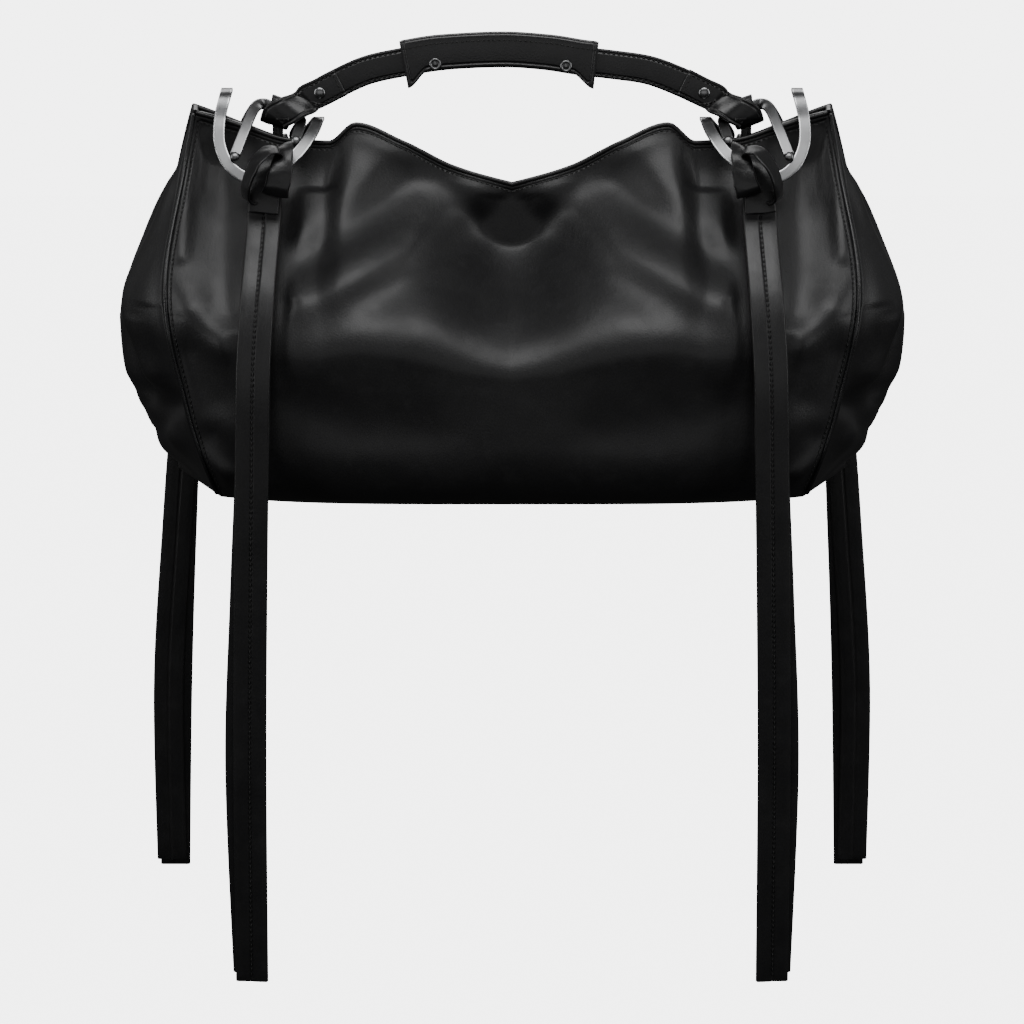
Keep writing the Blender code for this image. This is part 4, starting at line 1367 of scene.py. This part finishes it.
def make_knots(sizes, colours):
    """Each strap folds over the ring's lower bar, and a band of it wraps round below, so its two ends hang as
    tails. The band arches from the weld down to the outer edge, and the fold bunches beside it."""
    look = leather_finish("Knot Leather", sizes, colours, 0.31)
    for side, word in SIDES:
        for back, end in ENDS:
            towards = 1 if back else -1
            shift = 0.0105 if back else 0.0

            def place(x, y, h):
                return at(side * (x + shift), -towards * y, h)

            def strip(name, line, widths, thickness, twist, seed, amount):
                centres = route([place(*p) for p in line], KNOT_STEPS)
                sides = []
                for n in range(len(centres)):
                    a, b = (Vector(t) for t in twist)
                    across = a.lerp(b, n / (len(centres) - 1))
                    sides.append(Vector((side * across.x, -towards * across.y, across.z)))
                wide = [through(widths, n / (len(centres) - 1)) / 0.019 for n in range(len(centres))]
                section = rounded_section(0.019, thickness, thickness * 0.42, crown=0.0004)
                made = sweep(name, centres, sides, section, look, scale=wide)
                rumpled(made, amount, seed)
                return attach(made, f"strap_{end}_{word}")

            fold = strip(
                f"knot_fold_{end}_{word}",
                (
                    (0.1395, -0.0525, 0.1640),
                    (0.1385, -0.0500, 0.1760),
                    (0.1375, -0.0440, 0.1905),
                    (0.1380, -0.0370, 0.1945),
                    (0.1395, -0.0300, 0.1895),
                    (0.1400, -0.0310, 0.1780),
                    (0.1395, -0.0420, 0.1680),
                ),
                ((0, 0.017), (0.3, 0.0165), (0.5, 0.0150), (0.75, 0.0165), (1, 0.017)),
                0.0024,
                ((1, 0, -0.10), (1, 0, -0.30)),
                1.3,
                0.00035,
            )
            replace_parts(fold, f"knot_loop_{end}_{word}")
            strip(
                f"knot_lobe_{end}_{word}",
                (
                    (0.1285, -0.0345, 0.1985),
                    (0.1275, -0.0410, 0.2010),
                    (0.1278, -0.0490, 0.1965),
                    (0.1292, -0.0545, 0.1870),
                    (0.1312, -0.0560, 0.1790),
                    (0.1325, -0.0545, 0.1745),
                ),
                ((0, 0.008), (0.25, 0.0095), (0.6, 0.0130), (1, 0.0150)),
                0.0034,
                ((1, 0.2, -0.55), (1, -0.15, 0.50)),
                4.1,
                0.0006,
            )
            strip(
                f"knot_band_{end}_{word}",
                (
                    (0.1280, -0.0470, 0.1950),
                    (0.1310, -0.0510, 0.1990),
                    (0.1370, -0.0560, 0.1985),
                    (0.1430, -0.0605, 0.1920),
                    (0.1472, -0.0600, 0.1830),
                    (0.1488, -0.0570, 0.1750),
                    (0.1472, -0.0520, 0.1708),
                    (0.1425, -0.0475, 0.1712),
                ),
                ((0, 0.0060), (0.2, 0.0085), (0.5, 0.0115), (0.75, 0.0105), (1, 0.0080)),
                0.0026,
                ((0.30, 0.75, 0.55), (0.45, 0.80, 0.15)),
                7.7,
                0.00035,
            )


# ---------------------------------------------------------------- stage


def make_stage(colours):
    """A pale floor under the hanging bag, soft lights above and beside it, and the camera in front."""
    half, low = 6.0, CAD_BOX[0].z - 0.06
    verts = [(-half, -half, low), (half, -half, low), (half, half, low), (-half, half, low)]
    data = bpy.data.meshes.new("floor")
    data.from_pydata(verts, [], [(0, 1, 2, 3)])
    floor = bpy.data.objects.new("floor", data)
    bpy.context.scene.collection.objects.link(floor)
    made, wires, shader = new_finish("Pale Floor")
    place = wires.node("ShaderNodeTexCoord").outputs["Object"]
    speck = wires.noise(place, 60.0, 2.0, 0.5)
    dark = tuple(0.985 * c for c in colours.floor)
    wires.tree.links.new(wires.blend(speck, colours.floor, dark), shader.inputs["Base Color"])
    shader.inputs["Roughness"].default_value = 0.9
    shader.inputs["Specular IOR Level"].default_value = 0.1
    glow = wires.node("ShaderNodeEmission", {"Color": (*colours.floor, 1.0), "Strength": STAGE_GLOW})
    unlit = wires.node("ShaderNodeEmission", {"Color": (0.1, 0.1, 0.1, 1.0), "Strength": 0.35})
    seen = wires.node("ShaderNodeLightPath").outputs["Is Camera Ray"]
    both = wires.node("ShaderNodeMixShader", {0: 0.98, 1: shader.outputs[0], 2: glow.outputs[0]})
    end = wires.node("ShaderNodeMixShader", {0: seen, 1: unlit.outputs[0], 2: both.outputs[0]})
    wires.tree.links.new(end.outputs[0], made.node_tree.nodes["Material Output"].inputs["Surface"])
    data.materials.append(made)

    world = bpy.data.worlds.new("Studio")
    world.use_nodes = True
    wires = Wires(world.node_tree)
    seen = wires.node("ShaderNodeLightPath").outputs["Is Camera Ray"]
    shown = wires.node("ShaderNodeBackground", {"Color": (*colours.floor, 1.0), "Strength": STAGE_GLOW})
    dim = wires.node("ShaderNodeBackground", {"Color": (1.0, 1.0, 1.0, 1.0), "Strength": 0.13})
    end = wires.node("ShaderNodeMixShader", {0: seen, 1: dim.outputs[0], 2: shown.outputs[0]})
    wires.tree.links.new(end.outputs[0], world.node_tree.nodes["World Output"].inputs["Surface"])
    bpy.context.scene.world = world

    for name, place, aim, width, height, power in LIGHTS:
        light = bpy.data.lights.new(name, "AREA")
        light.shape = "RECTANGLE"
        light.size, light.size_y, light.energy = width, height, power
        lamp = bpy.data.objects.new(name, light)
        lamp.location = place
        lamp.rotation_euler = (Vector(aim) - Vector(place)).to_track_quat("-Z", "Y").to_euler()
        bpy.context.scene.collection.objects.link(lamp)

    camera = bpy.data.objects.new("camera", bpy.data.cameras.new("camera"))
    camera.location = (0, -1.46, 0.051)
    camera.rotation_euler = (radians(90 - 12.04), 0, 0)
    camera.data.lens = 88
    camera.data.sensor_width = 36
    bpy.context.scene.collection.objects.link(camera)
    bpy.context.scene.camera = camera


STAGE_GLOW = 6.0
# name, place, what it points at, width, height, power
LIGHTS = (
    ("key softbox", (0.0, -0.75, 1.25), (0, 0, -0.1), 1.3, 0.7, 13),
    ("left strip", (-1.3, -0.55, 0.35), (0, 0, -0.1), 0.35, 1.3, 5),
    ("right strip", (1.3, -0.55, 0.35), (0, 0, -0.1), 0.35, 1.3, 5),
    ("front fill", (0.0, -2.6, 0.2), (0, 0, -0.2), 2.4, 1.2, 4),
    ("back softbox", (0.0, 1.4, 1.0), (0, 0, -0.1), 1.6, 0.8, 10),
)


# ---------------------------------------------------------------- operators and panel


def settings(context):
    return context.scene.bag_sizes, context.scene.bag_colours


class BagBody(bpy.types.Operator):
    """Build the lofted leather body with its folds"""

    bl_idname = "bag.body"
    bl_label = "Body"

    def execute(self, context):
        make_body(*settings(context))
        return {"FINISHED"}


class BagLining(bpy.types.Operator):
    """Build the lining, the base board's finish and the snap inside the body"""

    bl_idname = "bag.lining"
    bl_label = "Lining"

    def execute(self, context):
        sizes, colours = settings(context)
        make_lining(sizes, colours)
        board = frame["nodes"]["base_board"]
        board.data.materials.clear()
        board.data.materials.append(board_finish(colours))
        make_snap(sizes, colours)
        return {"FINISHED"}


class BagSeams(bpy.types.Operator):
    """Build the welts, the bound edge and the body's stitches"""

    bl_idname = "bag.seams"
    bl_label = "Seams"

    def execute(self, context):
        make_seams(*settings(context))
        return {"FINISHED"}


class BagHandle(bpy.types.Operator):
    """Build the folded handle strap and its stitches"""

    bl_idname = "bag.handle"
    bl_label = "Handle"

    def execute(self, context):
        make_handle(*settings(context))
        return {"FINISHED"}


class BagGrip(bpy.types.Operator):
    """Build the grip cover with its rolled edge"""

    bl_idname = "bag.grip"
    bl_label = "Grip"

    def execute(self, context):
        make_grip(*settings(context))
        return {"FINISHED"}


class BagRivets(bpy.types.Operator):
    """Build the rivets and the grip's studs"""

    bl_idname = "bag.rivets"
    bl_label = "Rivets"

    def execute(self, context):
        make_rivets(*settings(context))
        return {"FINISHED"}


class BagRings(bpy.types.Operator):
    """Build the saddle rings and the tabs that hold them"""

    bl_idname = "bag.rings"
    bl_label = "Rings"

    def execute(self, context):
        make_rings(*settings(context))
        make_tabs(*settings(context))
        return {"FINISHED"}


class BagKnots(bpy.types.Operator):
    """Build the knots on the rings' lower bars"""

    bl_idname = "bag.knots"
    bl_label = "Knots"

    def execute(self, context):
        make_knots(*settings(context))
        return {"FINISHED"}


class BagTails(bpy.types.Operator):
    """Build the hanging tails"""

    bl_idname = "bag.tails"
    bl_label = "Tails"

    def execute(self, context):
        make_tails(*settings(context))
        return {"FINISHED"}


class BagStage(bpy.types.Operator):
    """Build the floor, the lights and the camera"""

    bl_idname = "bag.stage"
    bl_label = "Stage"

    def execute(self, context):
        make_stage(settings(context)[1])
        return {"FINISHED"}


STEPS = (BagStage, BagTails, BagKnots, BagBody, BagLining, BagSeams, BagHandle, BagGrip, BagRivets, BagRings)


class BagPanel(bpy.types.Panel):
    """Lists the bag's pieces, its sizes and its colours"""

    bl_idname = "BAG_PT_pieces"
    bl_label = "Ringed Leather Bag"
    bl_space_type = "VIEW_3D"
    bl_region_type = "UI"
    bl_category = "Bag"

    def draw(self, context):
        for step in STEPS:
            self.layout.operator(step.bl_idname)
        for group in settings(context):
            for name in group.__annotations__:
                self.layout.prop(group, name)


CLASSES = (BagSizes, BagColours, *STEPS, BagPanel)


def register():
    for kind in CLASSES:
        bpy.utils.register_class(kind)
    bpy.types.Scene.bag_sizes = PointerProperty(type=BagSizes)
    bpy.types.Scene.bag_colours = PointerProperty(type=BagColours)


def unregister():
    del bpy.types.Scene.bag_colours
    del bpy.types.Scene.bag_sizes
    for kind in reversed(CLASSES):
        bpy.utils.unregister_class(kind)


def main():
    for name in ("Cube", "Light", "Camera"):
        if name in bpy.data.objects:
            bpy.data.objects.remove(bpy.data.objects[name])
    register()
    for step in STEPS:
        group, name = step.bl_idname.split(".")
        getattr(getattr(bpy.ops, group), name)()


if __name__ == "__main__":
    main()
